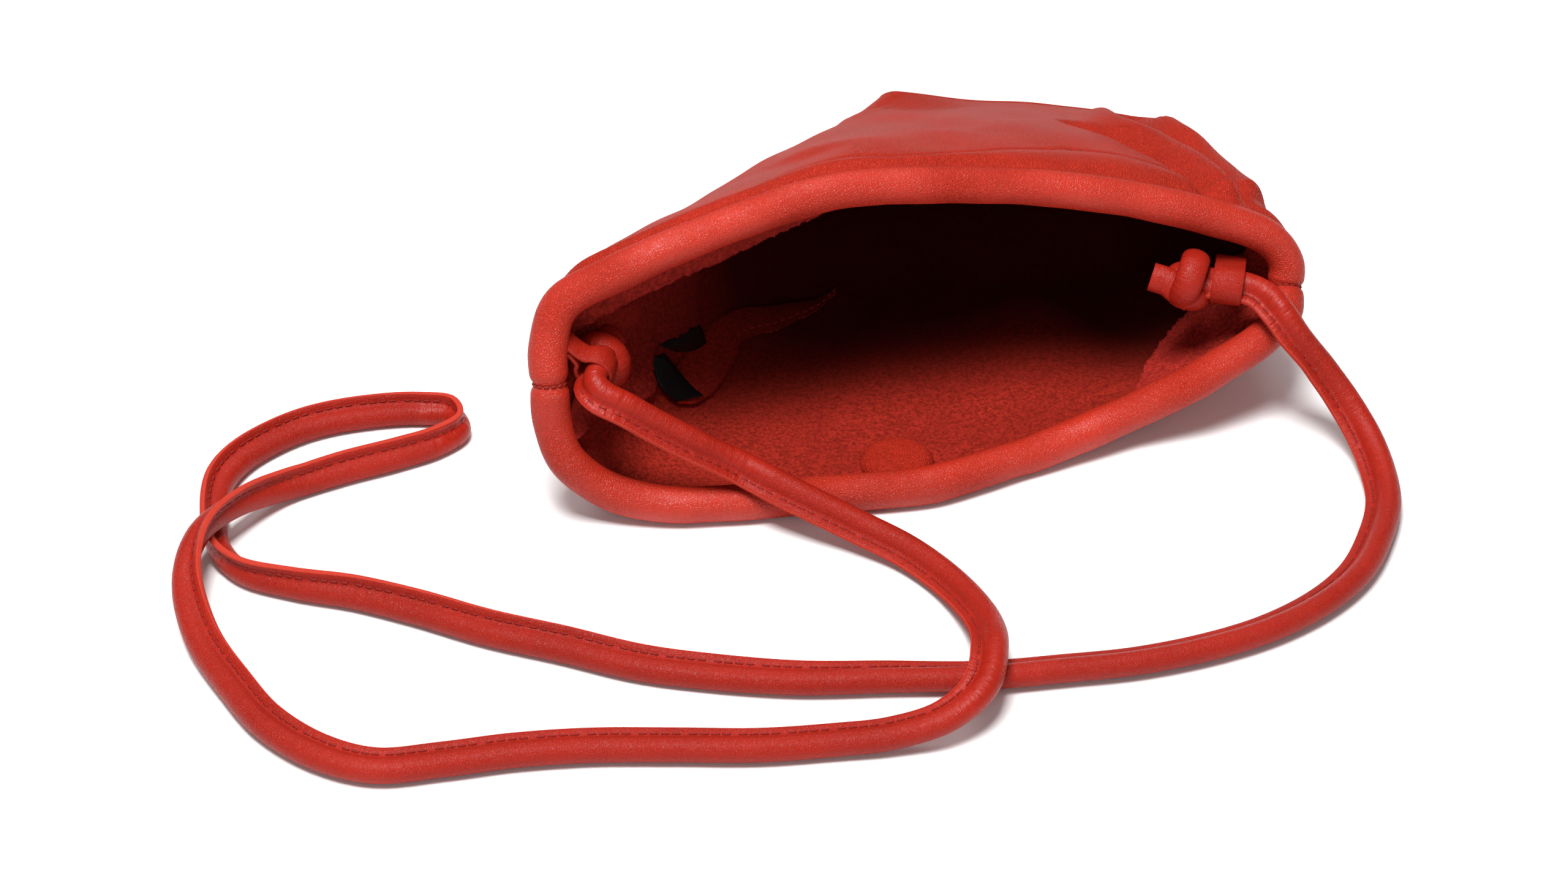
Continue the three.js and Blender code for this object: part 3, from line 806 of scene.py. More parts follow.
class PouchShape:
    """The pouch's form, in millimetres: the roll around the mouth and two panels down to the bottom."""

    half_width = 123.0
    height = 88.5
    lean = 21.5
    lip_reach = 29.0
    rim_radius = 6.0
    leather = 1.5
    gap = 0.3
    bottom_radius = 4.0
    front_sag = 1.3
    corner_start = math.radians(8)
    corner_share = 0.04
    flat_share = 0.3
    rim_places = 1201
    nudge = 1e-4
    bottom_line = np.array([[40, 160, 34.5], [86, 146, 29.5], [131, 110, 34.5]], float)
    front_rim = (
        (-1, 0.14, 0.531), (-0.992, 0.37, 0.644), (-0.943, 0.605, 0.774), (-0.789, 0.744, 0.847),
        (-0.472, 0.907, 0.949), (-0.195, 1, 1), (0.203, 0.86, 0.944), (0.512, 0.674, 0.859),
        (0.813, 0.395, 0.723), (0.967, 0.186, 0.621), (1.008, 0, 0.531), (1, -0.14, 0.452),
    )
    back_rim = (
        (0.976, 0.345, 0.352), (0.911, 0.517, 0.303), (0.715, 0.672, 0.194), (0.512, 0.655, 0.073),
        (0.22, 0.81, 0), (-0.065, 1, 0), (-0.317, 0.862, 0), (-0.699, 0.586, 0),
        (-0.87, 0.31, 0.048), (-0.976, 0.172, 0.194), (-1.004, 0, 0.339),
    )

    def __init__(self) -> None:
        """Lays the roll's centre line."""
        front = [(a * self.half_width, b * self.lean, c * self.height) for a, b, c in self.front_rim]
        rise = self.height - self.rim_radius
        back = [
            (a * self.half_width, -b * self.lip_reach, self.rim_radius + c * rise) for a, b, c in self.back_rim
        ]
        self.rim = np.array(front + back)
        self.right_seam = (len(front) - 1) / len(self.rim)

    def rim_run(self, side: Side) -> tuple[np.ndarray, np.ndarray]:
        """Places on the closed roll along one panel, and the length up to each."""
        start = 0.0 if side is Side.FRONT else 1.0
        places = np.linspace(start, self.right_seam, self.rim_places)
        return places, run_lengths(curve_at(self.rim, True, places))

    def rim_length(self, side: Side) -> float:
        """Length of the roll along one panel."""
        return float(self.rim_run(side)[1][-1])

    def rim_frames(self, side: Side, shares: np.ndarray) -> tuple[np.ndarray, ...]:
        """Frames of the roll.

        Args:
            side: The panel.
            shares: Places along the mouth, from 0 at the left seam to 1 at the right one.

        Returns:
            Centres, tangents, directions into the pouch and directions out of it.
        """
        places, lengths = self.rim_run(side)
        where = np.interp(np.asarray(shares) * lengths[-1], lengths, places)
        centre = curve_at(self.rim, True, where)
        centre[..., 2] = np.maximum(centre[..., 2], self.rim_radius)
        ahead = curve_at(self.rim, True, where + self.nudge)
        behind = curve_at(self.rim, True, where - self.nudge)
        tangent = unit(ahead - behind) * side
        inward = (curve_at(self.bottom_line, False, shares) - centre) * np.array([1.0, 1.0, 0.0])
        inward = unit(inward - tangent * np.sum(inward * tangent, -1, keepdims=True))
        outward = unit(np.cross(tangent, inward)) * side
        return centre, tangent, inward, outward

    def bottom(self, side: Side, shares: np.ndarray, turn: float) -> np.ndarray:
        """Outside of a panel at the rounded bottom edge.

        Args:
            side: The panel.
            shares: Places along the mouth.
            turn: Angle around the edge, from 0 on the panel to a right angle at the seam.

        Returns:
            One point for each share.
        """
        shares = np.asarray(shares, float)
        nearest = np.minimum(1, np.minimum(shares, 1 - shares) / self.corner_share)
        corner = (self.corner_start + (math.pi / 2 - self.corner_start) * nearest)[..., None]
        ahead = curve_at(self.bottom_line, False, np.clip(shares + self.nudge, 0, 1))
        edge = unit(ahead - curve_at(self.bottom_line, False, np.clip(shares - self.nudge, 0, 1)))
        away = unit(np.cross(UP, edge))
        end = np.where(shares < 0.5, -1, 1)[..., None]
        around = away * math.sin(turn) + UP * side * math.cos(turn)
        middle = curve_at(self.bottom_line, False, shares) + UP * side * self.gap / 2
        return middle + self.bottom_radius * (edge * end * np.cos(corner) + around * np.sin(corner))

    def body(self, side: Side, shares: np.ndarray, depths: np.ndarray) -> np.ndarray:
        """Outside of a panel between its roll and the bottom edge.

        Args:
            side: The panel.
            shares: Places along the mouth.
            depths: Shares of the way from the roll to the bottom.

        Returns:
            A grid of points, one column of depths for each share.
        """
        centre, _, _, outward = self.rim_frames(side, shares)
        start = (centre + outward * self.rim_radius)[:, None, :]
        end = self.bottom(side, shares, 0.0)[:, None, :]
        depth = np.asarray(depths, float)[None, :]
        points = start + (end - start) * depth[..., None]
        falling = start[..., 2] + (end[..., 2] - start[..., 2]) * depth**self.front_sag
        points[..., 2] = falling
        if side is Side.BACK:
            flat = (ease(0, self.flat_share, shares) * ease(0, self.flat_share, 1 - shares))[:, None]
            on_floor = start[..., 2] * (1 - ease(0, 0.35, depth)) + end[..., 2] * ease(0.6, 1, depth)
            points[..., 2] = falling + (on_floor - falling) * flat
        return points

    def tail(self, side: Side, shares: np.ndarray, part: float) -> np.ndarray:
        """The tucked edge of the roll, from 0 at the roll to 1 at its end."""
        centre, _, inward, outward = self.rim_frames(side, shares)
        length = self.rim_radius - 2 * self.leather - 2 * self.gap
        return centre + inward * self.rim_radius + outward * length * part


@dataclass(frozen=True)
class Crease:
    """A fold line on the front panel, seen from above, in millimetres."""

    line: tuple
    height: float
    width: float

    def lift(self, points: np.ndarray) -> np.ndarray:
        """How far the fold lifts each point of the panel.

        Args:
            points: Points of the panel.

        Returns:
            Lift of each point, in millimetres.
        """
        line = np.asarray(self.line, float)
        dense = resample(np.column_stack([line, np.zeros(len(line))]), 2.0)[:, :2]
        flat = points.reshape(-1, 3)[:, :2]
        distance = np.full(len(flat), 1e9)
        place = np.zeros(len(flat))
        for index, knot in enumerate(dense):
            away = np.linalg.norm(flat - knot, axis=1)
            nearer = away < distance
            distance[nearer] = away[nearer]
            place[nearer] = index / (len(dense) - 1)
        fade = ease(0, 0.16, place) * ease(0, 0.12, 1 - place)
        lift = self.height * fade * bell(distance, self.width)
        return lift.reshape(points.shape[:-1])


CREASES = (
    Crease(((80, 96), (83, 86), (87, 77), (92, 68), (97, 55), (100, 39), (101, 25), (103, 8)), -5.0, 3.8),
    Crease(
        ((106, 124), (99, 96), (100, 82), (105, 70), (108.5, 56), (109.5, 40), (109, 26), (109, 6)), 4.6, 7.0
    ),
    Crease(
        ((117, 124), (116, 100), (118, 82), (119, 66), (118.5, 50), (117, 34), (115.5, 18), (114, 6)),
        -5.0,
        3.6,
    ),
    Crease(((126, 116), (125, 96), (127, 78), (127, 60), (125.5, 42), (122, 24)), 4.2, 6.0),
    Crease(((30, 150), (16, 122), (-4, 90), (-24, 56)), 1.8, 19.0),
    Crease(((62, 152), (50, 122), (36, 92), (26, 60)), -1.8, 17.0),
)


@dataclass
class Panel:
    """One leather panel with its padded roll, suede inside."""

    shape: PouchShape
    side: Side
    columns: int = 220
    body_rows: int = 104
    roll_rows: int = 30
    crowding: float = 1.2
    bottom_bends: tuple[float, float, int] = (15, 90, 6)
    roll_fade: tuple[float, float] = (-2.0, 7.0)
    roll_unevenness: float = 0.35
    roll_wave: float = 34.0
    seam_pinch: float = 0.3
    roll_pinch: float = 0.8
    pinch_width: float = 1.7
    slack: float = 0.9
    slack_wave: float = 62.0
    stitch_groove: float = 0.75
    groove_width: float = 1.6
    roll_groove: float = 1.5
    swell: float = 1.1
    floor_clearance: float = 0.05
    stitch_run: tuple = (
        (0.0, 15), (0.1, 17), (0.34, 20), (0.4, 20), (0.467, 13), (0.51, 14.5), (0.6, 24), (0.67, 29),
        (0.75, 26.5), (0.8, 23), (0.85, 17), (0.9, 13), (1.0, 12),
    )
    stitch_span: tuple[float, float] = (0.03, 0.85)
    stitch_raise: float = 0.12
    outside: np.ndarray = field(init=False)
    inside: np.ndarray = field(init=False)
    past_roll: np.ndarray = field(init=False)
    stitch_at: np.ndarray = field(init=False)

    def shares(self) -> np.ndarray:
        """Places of the columns, closer together at the seams."""
        even = np.linspace(0, 1, self.columns)
        return 0.55 * even + 0.45 * (0.5 - 0.5 * np.cos(math.pi * even))

    def normals(self, grid: np.ndarray) -> np.ndarray:
        """Outward directions of a grid of points."""
        across, down = np.gradient(grid, axis=0), np.gradient(grid, axis=1)
        return unit(np.cross(across, down)) * self.side

    def column_at(self, share: float) -> int:
        """The column nearest to a place along the mouth."""
        return int(np.argmin(np.abs(self.shares() - share)))

    def row_at(self, column: int, run: float) -> int:
        """The row of a column nearest to a distance past the roll."""
        return int(np.argmin(np.abs(self.past_roll[column] - run)))

    def lay(self) -> tuple[np.ndarray, int]:
        """Lays the panel before its folds.

        Returns:
            A grid of points, one column for each share, and the row where the body starts.
        """
        shape, shares = self.shape, self.shares()
        centre, _, inward, outward = shape.rim_frames(self.side, shares)
        angles = np.radians(np.linspace(270, 0, self.roll_rows + 1)[:-1])[None, :, None]
        tail = np.stack([shape.tail(self.side, shares, part) for part in (1.0, 0.5)], axis=1)
        turn = np.cos(angles) * outward[:, None] - np.sin(angles) * inward[:, None]
        roll = centre[:, None] + shape.rim_radius * turn
        body = shape.body(self.side, shares, np.linspace(0, 1, self.body_rows) ** self.crowding)
        bends = np.radians(np.linspace(*self.bottom_bends))
        bottom = np.stack([shape.bottom(self.side, shares, bend) for bend in bends], axis=1)
        return np.concatenate([tail, roll, body, bottom], axis=1), tail.shape[1] + roll.shape[1]

    def lift(self, grid: np.ndarray, run: np.ndarray, mouth_run: np.ndarray, on_roll: np.ndarray) -> np.ndarray:
        """How far unevenness, seams and folds lift each point outwards.

        Args:
            grid: The panel before its folds.
            run: Length down each column up to each point.
            mouth_run: Length along the mouth up to each column.
            on_roll: Share of the roll in each point.

        Returns:
            Lift of each point, in millimetres.
        """
        past_roll, stitch_at = self.past_roll, self.stitch_at
        seam_run = np.minimum(mouth_run, mouth_run[-1] - mouth_run)[:, None]
        lift = self.roll_unevenness * on_roll * ripple(mouth_run[:, None], run * 0.4, self.roll_wave)
        lift -= (self.seam_pinch + self.roll_pinch * on_roll) * bell(seam_run, self.pinch_width)
        loose = ease(4.0, 30.0, past_roll) * ease(0, 14, seam_run)
        lift += self.slack * loose * ripple(grid[..., 0], grid[..., 1], self.slack_wave)
        from_stitch = past_roll - stitch_at
        lift -= self.stitch_groove * bell(from_stitch, self.groove_width) * ease(0, 6, seam_run)
        if self.side is Side.FRONT:
            lift -= self.roll_groove * bell(past_roll - 6.0, 3.0) * ease(0, 20, seam_run)
            swelling = bell(from_stitch + 0.36 * stitch_at, 0.26 * stitch_at)
            lift += self.swell * swelling * ease(0, 20, seam_run)
            folds = sum(crease.lift(grid) for crease in CREASES)
            lift += folds * ease(1.0, 12.0, past_roll)
        return lift

    def build(self, finishes: Finishes) -> bpy.types.Object:
        """Makes the panel.

        Args:
            finishes: The materials.

        Returns:
            The panel.
        """
        shape, shares = self.shape, self.shares()
        grid, first_body = self.lay()
        steps = np.linalg.norm(np.diff(grid, axis=1), axis=-1)
        run = np.concatenate([np.zeros((self.columns, 1)), np.cumsum(steps, axis=1)], axis=1)
        self.past_roll = run - run[:, first_body : first_body + 1]
        self.stitch_at = np.interp(shares, *zip(*self.stitch_run))[:, None]
        mouth_run = shares * shape.rim_length(self.side)
        on_roll = 1 - ease(*self.roll_fade, self.past_roll)
        lift = self.lift(grid, run, mouth_run, on_roll)
        grid = grid + self.normals(grid) * lift[..., None]
        if self.side is Side.BACK:
            grid[..., 2] = np.maximum(grid[..., 2], self.floor_clearance)
        self.outside = grid
        self.inside = grid - self.normals(grid) * shape.leather

        surface = Surface()
        rows = grid.shape[1]
        chart = np.stack(np.broadcast_arrays(mouth_run[:, None], run), axis=-1).reshape(-1, 2) * MM
        bent = 0.55 + 0.45 * ripple(mouth_run[:, None], run, 47.0)
        wrinkle_and_painted_shade = (on_roll * np.clip(bent, 0.1, 1)).ravel()
        outer = surface.add_points(to_part(grid.reshape(-1, 3)), chart, wrinkle_and_painted_shade)
        # Painted shade on the suede inside: darker deeper into the pouch, and starting nearer the roll towards
        # the right seam.
        aside = ease(0.55, 0.85, shares)[:, None]
        painted_shade = np.clip((self.past_roll - (50 - 36 * aside)) / (62 - 30 * aside), 0, 1)
        inner = surface.add_points(to_part(self.inside.reshape(-1, 3)), chart, painted_shade.ravel())
        surface.add_grid(outer, self.columns, rows, PanelFace.GRAIN, self.side is Side.BACK)
        surface.add_grid(inner, self.columns, rows, PanelFace.SUEDE, self.side is Side.FRONT)
        surface.close_edges(outer, inner, self.columns, rows, PanelFace.RAW_EDGE)
        name = f"{self.side.label}_panel"
        piece = surface.build(f"{name}_leather", [finishes.panel, finishes.suede, finishes.raw_edge])
        turn_outwards(piece)
        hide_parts(name)
        return piece

    def stitch_row(self, finishes: Finishes, pitch: float = 3.6) -> bpy.types.Object:
        """Makes the row of stitches below the roll.

        Args:
            finishes: The materials.
            pitch: Distance from one stitch to the next, in millimetres.

        Returns:
            The row.
        """
        shares = self.shares()
        columns = np.flatnonzero((shares > self.stitch_span[0]) & (shares < self.stitch_span[1]))
        rows = [self.row_at(column, self.stitch_at[column]) for column in columns]
        line = self.outside[columns, rows]
        ups = self.normals(self.outside)[columns, rows]
        lengths = run_lengths(line)
        wanted = np.arange(pitch, lengths[-1], pitch)
        centres = points_at(lengths, line, wanted)
        raised = unit(points_at(lengths, ups, wanted)) * self.stitch_raise
        return Stitches(2.3, 0.36).build(
            f"{self.side.label}_stitches", centres + raised, tangents_of(centres), finishes.thread
        )


@dataclass
class RaggedSheet:
    """A thin suede or satin piece between two guide lines, with a torn second edge."""

    name: str
    root: Sequence
    edge: Sequence
    thickness: float = 1.2
    ragged: float = 0.0
    sag: float = 0.0
    # Painted shade at the sheet's two ends, from 0 to 1.
    painted_shade: tuple[float, float] = (0.0, 0.0)
    across: int = 120
    down: int = 16
    seed: int = 11
    points: np.ndarray = field(init=False)

    def build(self, face: bpy.types.Material, cut: bpy.types.Material, slot: str) -> bpy.types.Object:
        """Makes the piece.

        Args:
            face: Material of both faces.
            cut: Material of the cut edges.
            slot: The record's material slot; not used.

        Returns:
            The piece.
        """
        shares = np.linspace(0, 1, self.across)
        root = curve_at(self.root, False, shares)
        edge = curve_at(self.edge, False, shares)
        draw = np.random.default_rng(self.seed)
        rough = draw.normal(0, 1, self.across)
        rough = 0.6 * rough + 0.4 * np.convolve(rough, np.ones(5) / 2.2, mode="same")
        edge = edge + unit(edge - root) * (rough * self.ragged)[:, None]
        part = np.linspace(0, 1, self.down)[None, :, None]
        grid = root[:, None] * (1 - part) + edge[:, None] * part
        normals = unit(np.cross(np.gradient(grid, axis=0), np.gradient(grid, axis=1)))
        normals = normals * np.sign(np.sum(normals * TO_VIEWER, -1, keepdims=True))
        grid = grid - normals * (self.sag * np.sin(part * math.pi))
        self.points = grid
        surface = Surface()
        chart = np.zeros((grid.shape[0] * grid.shape[1], 2))
        chart[:, 0] = np.repeat(run_lengths(root), self.down) * MM
        # Painted shade that fades from one end of the sheet to the other.
        painted_shade_along = np.repeat(self.painted_shade[0] + (self.painted_shade[1] - self.painted_shade[0]) * shares, self.down)
        top = surface.add_points(to_part(grid.reshape(-1, 3)), chart, painted_shade_along)
        lower = grid - normals * self.thickness
        under = surface.add_points(to_part(lower.reshape(-1, 3)), chart, painted_shade_along)
        surface.add_grid(top, self.across, self.down, 0, False)
        surface.add_grid(under, self.across, self.down, 0, True)
        surface.close_edges(top, under, self.across, self.down, 1)
        piece = surface.build(self.name, [face, cut])
        turn_outwards(piece)
        return piece


LEFT_STRAP_END = ((12.3, 7.9, 1.8), (9.5, 3, 0.9), (7.8, 0, 0.4), (6.3, -3.4, -0.3), (7.8, -7.6, -2.1))
RIGHT_STRAP_END = ((-7, -10.5, 5.6), (-11, -6.3, 6.7), (-16.5, -3.2, 7), (-22.5, -0.2, 7.2))
STRAP_ROUTE = (
    (-102, -8.5, 41), (-95, -11, 36), (-81, -16, 27), (-67, -20, 18.4), (-57, -30, 15.2), (-49, -37, 12.5),
    (-38, -46, 8.5), (-26, -59, 5.6), (-18, -77, 5), (-16, -100, 8.5), (-21, -120, 14.2), (-29, -134, 13),
    (-41, -139, 9), (-57, -138, 5.5), (-74, -135, 4.6), (-95, -131, 4.6), (-118, -124, 4.6),
    (-142, -117, 4.6), (-163, -113, 4.6), (-183, -111, 4.6), (-202, -108, 4.6), (-216, -98, 4.6),
    (-228, -81, 4.6), (-235, -61, 4.6), (-241, -38, 5.5), (-242, -18, 9.5), (-239, -6, 13), (-233, 5, 14.4),
    (-222, 17, 12), (-206, 29, 6.5), (-188, 34, 4.6), (-167, 37, 4.6), (-154, 40, 4.6), (-145, 46, 4.6),
    (-146, 55, 4.6), (-154, 59, 4.6), (-166, 62, 4.6), (-185, 63, 4.6), (-199, 60, 4.6), (-215, 51, 4.6),
    (-224, 40, 4.6), (-229, 23, 4.6), (-230, 5, 4.6), (-224, -9, 4.6), (-210, -20, 4.6), (-193, -30, 4.6),
    (-177, -42, 4.6), (-158, -58, 4.6), (-138, -72, 4.6), (-119, -86, 4.6), (-100, -96, 4.6),
    (-76, -106, 4.6), (-50, -113, 4.6), (-24, -120, 4.6), (1, -124, 4.6), (23, -127, 4.6), (47, -127, 4.6),
    (68, -124, 4.6), (88, -117, 4.6), (104, -107, 4.6), (117, -93, 4.6), (127, -78, 4.8), (132, -63, 6),
    (133, -50, 10), (130, -40, 17), (124, -32, 26.5), (117, -26, 36), (113, -20, 42.5),
)


@dataclass
class Strap:
    """The long strap: a rolled tube with a stitched flange, loops around it and a knot at each end."""

    shape: PouchShape
    finishes: Finishes
    step: float = 1.6
    stitch_pitch: float = 3.6
    flange_turns: tuple = (
        (0, 122), (8, 122), (12, 108), (14, 92), (20, 82), (26, 74), (29, 60), (32, 30), (35, -14), (38, 2),
        (41, 26), (44, 34), (47, 26), (50, -14), (54, -55), (58, -96), (66, -104), (70, -112), (74, -112),
        (76, -112),
    )
    section_half: tuple = (
        (7.5, 0.0), (7.55, 0.35), (7.5, 0.8), (7.25, 0.98), (6.4, 1.08), (5.6, 1.02), (5.0, 0.82), (4.4, 0.98),
        (3.85, 1.2), (3.5, 1.65), (3.1, 2.2), (2.55, 2.75), (1.8, 3.25), (0.95, 3.55), (0.0, 3.7),
        (-1.05, 3.55), (-2.0, 3.1), (-2.8, 2.4), (-3.35, 1.5), (-3.65, 0.55),
    )
    flange_shift: float = 1.6
    stitch_from: float = 5.0
    coil: float = 6.9
    wraps: float = 1.45
    left_knot_centre: tuple = (-103.6, 16.2, 42.4)
    right_knot_centre: tuple = (89.6, -0.9, 48.0)
    knot_section: tuple[float, float] = (4.7, 3.1)
    knot_sides: int = 24
    loop_radius: float = 5.6
    loop_reach: float = 15.5
    loop_half_tab: float = 0.95
    loop_meet: float = 0.36
    loop_half_thickness: float = 0.75

    def route(self) -> np.ndarray:
        """The strap's points from the left knot to the right one, in millimetres."""
        left = self.shape.rim[0] + np.array([self.shape.rim_radius, 0, 0])
        right = self.shape.rim[len(self.shape.front_rim) - 1] - np.array([self.shape.rim_radius, 0, 0])
        ends = np.array(LEFT_STRAP_END) + left, np.array(RIGHT_STRAP_END) + right
        return np.vstack([ends[0], STRAP_ROUTE, ends[1]])

    def section(self) -> tuple[np.ndarray, list[int]]:
        """Outline of the strap's section and the material of each of its edges."""
        upper = np.array(self.section_half)
        lower = (upper * np.array([1.0, -1.0]))[1:][::-1]
        outline = np.vstack([upper, lower]) - np.array([self.flange_shift, 0])
        kinds = []
        for index in range(len(outline)):
            middle = (outline[index] + outline[(index + 1) % len(outline)]) / 2
            kinds.append(StrapFace.RAW_EDGE if middle[0] > 7.3 - self.flange_shift else StrapFace.GRAIN)
        return outline, kinds

    def build(self) -> bpy.types.Object:
        """Returns:
            The strap.
        """
        route = self.route()
        path = resample(route, self.step)
        lengths = run_lengths(path)
        near = [float(lengths[np.argmin(np.linalg.norm(path - point, axis=1))]) for point in route]
        places = [near[index] for index, _ in self.flange_turns]
        turns = np.radians(np.interp(lengths, places, [angle for _, angle in self.flange_turns]))
        turns = smoothed(turns, 25)
        ways = tangents_of(path)
        right = unit(np.cross(ways, UP))
        over = np.cross(right, ways)
        flange = np.cos(turns)[:, None] * over + np.sin(turns)[:, None] * right
        cross = np.cross(ways, flange)
        outline, kinds = self.section()
        rings = path[:, None] + flange[:, None] * outline[None, :, :1] + cross[:, None] * outline[None, :, 1:]
        sunk = np.maximum(0, 0.08 - rings[..., 2].min(axis=1))
        path = path + UP * sunk[:, None]

        bend = np.linalg.norm(np.gradient(ways, axis=0), axis=1) / self.step
        bend = smoothed(bend, 13)
        wrinkle_and_painted_shade = 0.35 + 0.65 * ease(0.012, 0.05, bend)
        sweep = Sweep(path, flange, cross, outline, kinds, wrinkle_and_painted_shade)
        strap = sweep.build("strap_rolled", [self.finishes.strap, self.finishes.raw_edge])
        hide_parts("strap")

        wanted = np.arange(6.0, lengths[-1] - 6.0, self.stitch_pitch)
        pick = np.clip(np.searchsorted(lengths, wanted), 0, len(path) - 1)
        seam = path[pick] + flange[pick] * (self.stitch_from - self.flange_shift)
        centres = np.concatenate([seam + cross[pick] * 0.95, seam - cross[pick] * 0.95])
        stitches = Stitches(2.5, 0.34).build(
            "strap_stitches", centres, np.concatenate([ways[pick], ways[pick]]), self.finishes.thread
        )
        knots = [self.left_knot(), self.right_knot()]
        self.loop("left_strap_loop", route, 1, 3.4)
        self.loop("right_strap_loop", route, len(route) - 2, 5.0)
        return strap

    def knot(
        self, name: str, node: str, centre: Sequence, along: Sequence, tail: Sequence
    ) -> bpy.types.Object:
        """A tight overhand knot: the strap's end coils around the strap and tucks out as a short tail.

        Args:
            name: The piece's name.
            node: The solid that it stands for.
            centre: Middle of the knot.
            along: Direction from the loop through the knot.
            tail: Direction of the side that the tail comes out at.

        Returns:
            The knot.
        """
        way = unit(np.asarray(along, float))
        lean = np.asarray(tail, float)
        lean = unit(lean - way * np.dot(lean, way))
        deep = np.cross(way, lean)
        turns = np.linspace(0.1, 1.0, 16) * math.tau * self.wraps
        ring = self.coil * np.cos(turns + 0.6), self.coil * np.sin(turns + 0.6)
        wrap = np.stack([3.4 - 6.2 * turns / turns[-1], *ring], axis=1)
        lead = np.array([(-10, 0, 0), (-6, 0.2, 0.3), (0, 0.6, 1.0), (3.6, 2.0, 2.4)])
        leave = np.array([(-2.6, 0.97, 0.97), (2.5, 0.72, 0.72), (7.0, 0.4, 0.4), (12.5, 0.3, 0.3)])
        leave[:, 1:] *= wrap[-1, 1:]
        local = np.vstack([lead, wrap, leave])
        path = resample(np.asarray(centre) + local @ np.stack([way, lean, deep]), 0.8)
        middle = len(path) // 2
        ahead = carried_frames(path[middle:], way)[0]
        behind = carried_frames(path[middle::-1], way)[0][::-1]
        sides = np.vstack([behind[:-1], ahead])
        lifts = np.cross(tangents_of(path), sides)
        kinds = [StrapFace.GRAIN] * self.knot_sides
        section = round_section(1.0, self.knot_sides) * np.array(self.knot_section)
        piece = Sweep(path, sides, lifts, section, kinds, np.full(len(path), 0.7)).build(
            name, [self.finishes.strap, self.finishes.raw_edge]
        )
        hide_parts(node)
        return piece

    def left_knot(self) -> bpy.types.Object:
        """The knot inside the left loop."""
        return self.knot(
            "left_overhand_knot", "left_knot", self.left_knot_centre, (0.62, 0.76, 0.05), (0.7, -0.4, -0.6)
        )

    def right_knot(self) -> bpy.types.Object:
        """The knot inside the right loop."""
        return self.knot(
            "right_overhand_knot", "right_knot", self.right_knot_centre, (-0.88, 0.44, 0.15), (0.3, 0.5, 0.8)
        )

    def loop(self, node: str, route: np.ndarray, index: int, half_width: float) -> bpy.types.Object:
        """A leather loop around the strap, sewn to the side seam by its doubled tab.

        Args:
            node: The solid that it stands for.
            route: The strap's points.
            index: The point that the loop is around.
            half_width: Half the width of its band, in millimetres.

        Returns:
            The loop.
        """
        centre = route[index]
        axis = unit(route[index + 1] - route[index - 1])
        low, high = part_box(node)
        middle = (np.array(low) + np.array(high)) / 2 / MM - MOUTH_TO_PART
        reach_way = middle - centre
        reach_way = unit(reach_way - axis * np.dot(reach_way, axis))
        across = np.cross(axis, reach_way)
        radius, reach, half_tab = self.loop_radius, self.loop_reach, self.loop_half_tab
        angles = np.linspace(self.loop_meet, math.tau - self.loop_meet, 40)
        ring = np.stack([np.cos(angles), np.sin(angles)], axis=1) * radius
        start = [(reach, half_tab), (reach - 3.5, half_tab), (radius + 2.2, half_tab + 0.2)]
        end = [(x, -y) for x, y in reversed(start)]
        flat = np.vstack([start, ring, end])
        path = resample(centre + flat[:, :1] * reach_way + flat[:, 1:] * across, 0.7)
        ways = tangents_of(path)
        lifts = np.broadcast_to(axis, path.shape).copy()
        sides = np.cross(lifts, ways)
        half, thick = half_width, self.loop_half_thickness
        section = np.array(
            [
                (thick, -half + 0.3), (thick, 0), (thick, half - 0.3), (thick - 0.25, half),
                (-thick + 0.25, half), (-thick, half - 0.3), (-thick, 0), (-thick, -half + 0.3),
                (-thick + 0.25, -half), (thick - 0.25, -half),
            ]
        )
        kinds = [StrapFace.GRAIN] * len(section)
        kinds[3] = kinds[8] = StrapFace.RAW_EDGE
        piece = Sweep(path, sides, lifts, section, kinds, np.full(len(path), 0.4)).build(
            f"{node}_band", [self.finishes.strap, self.finishes.raw_edge]
        )
        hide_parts(node)
        return piece


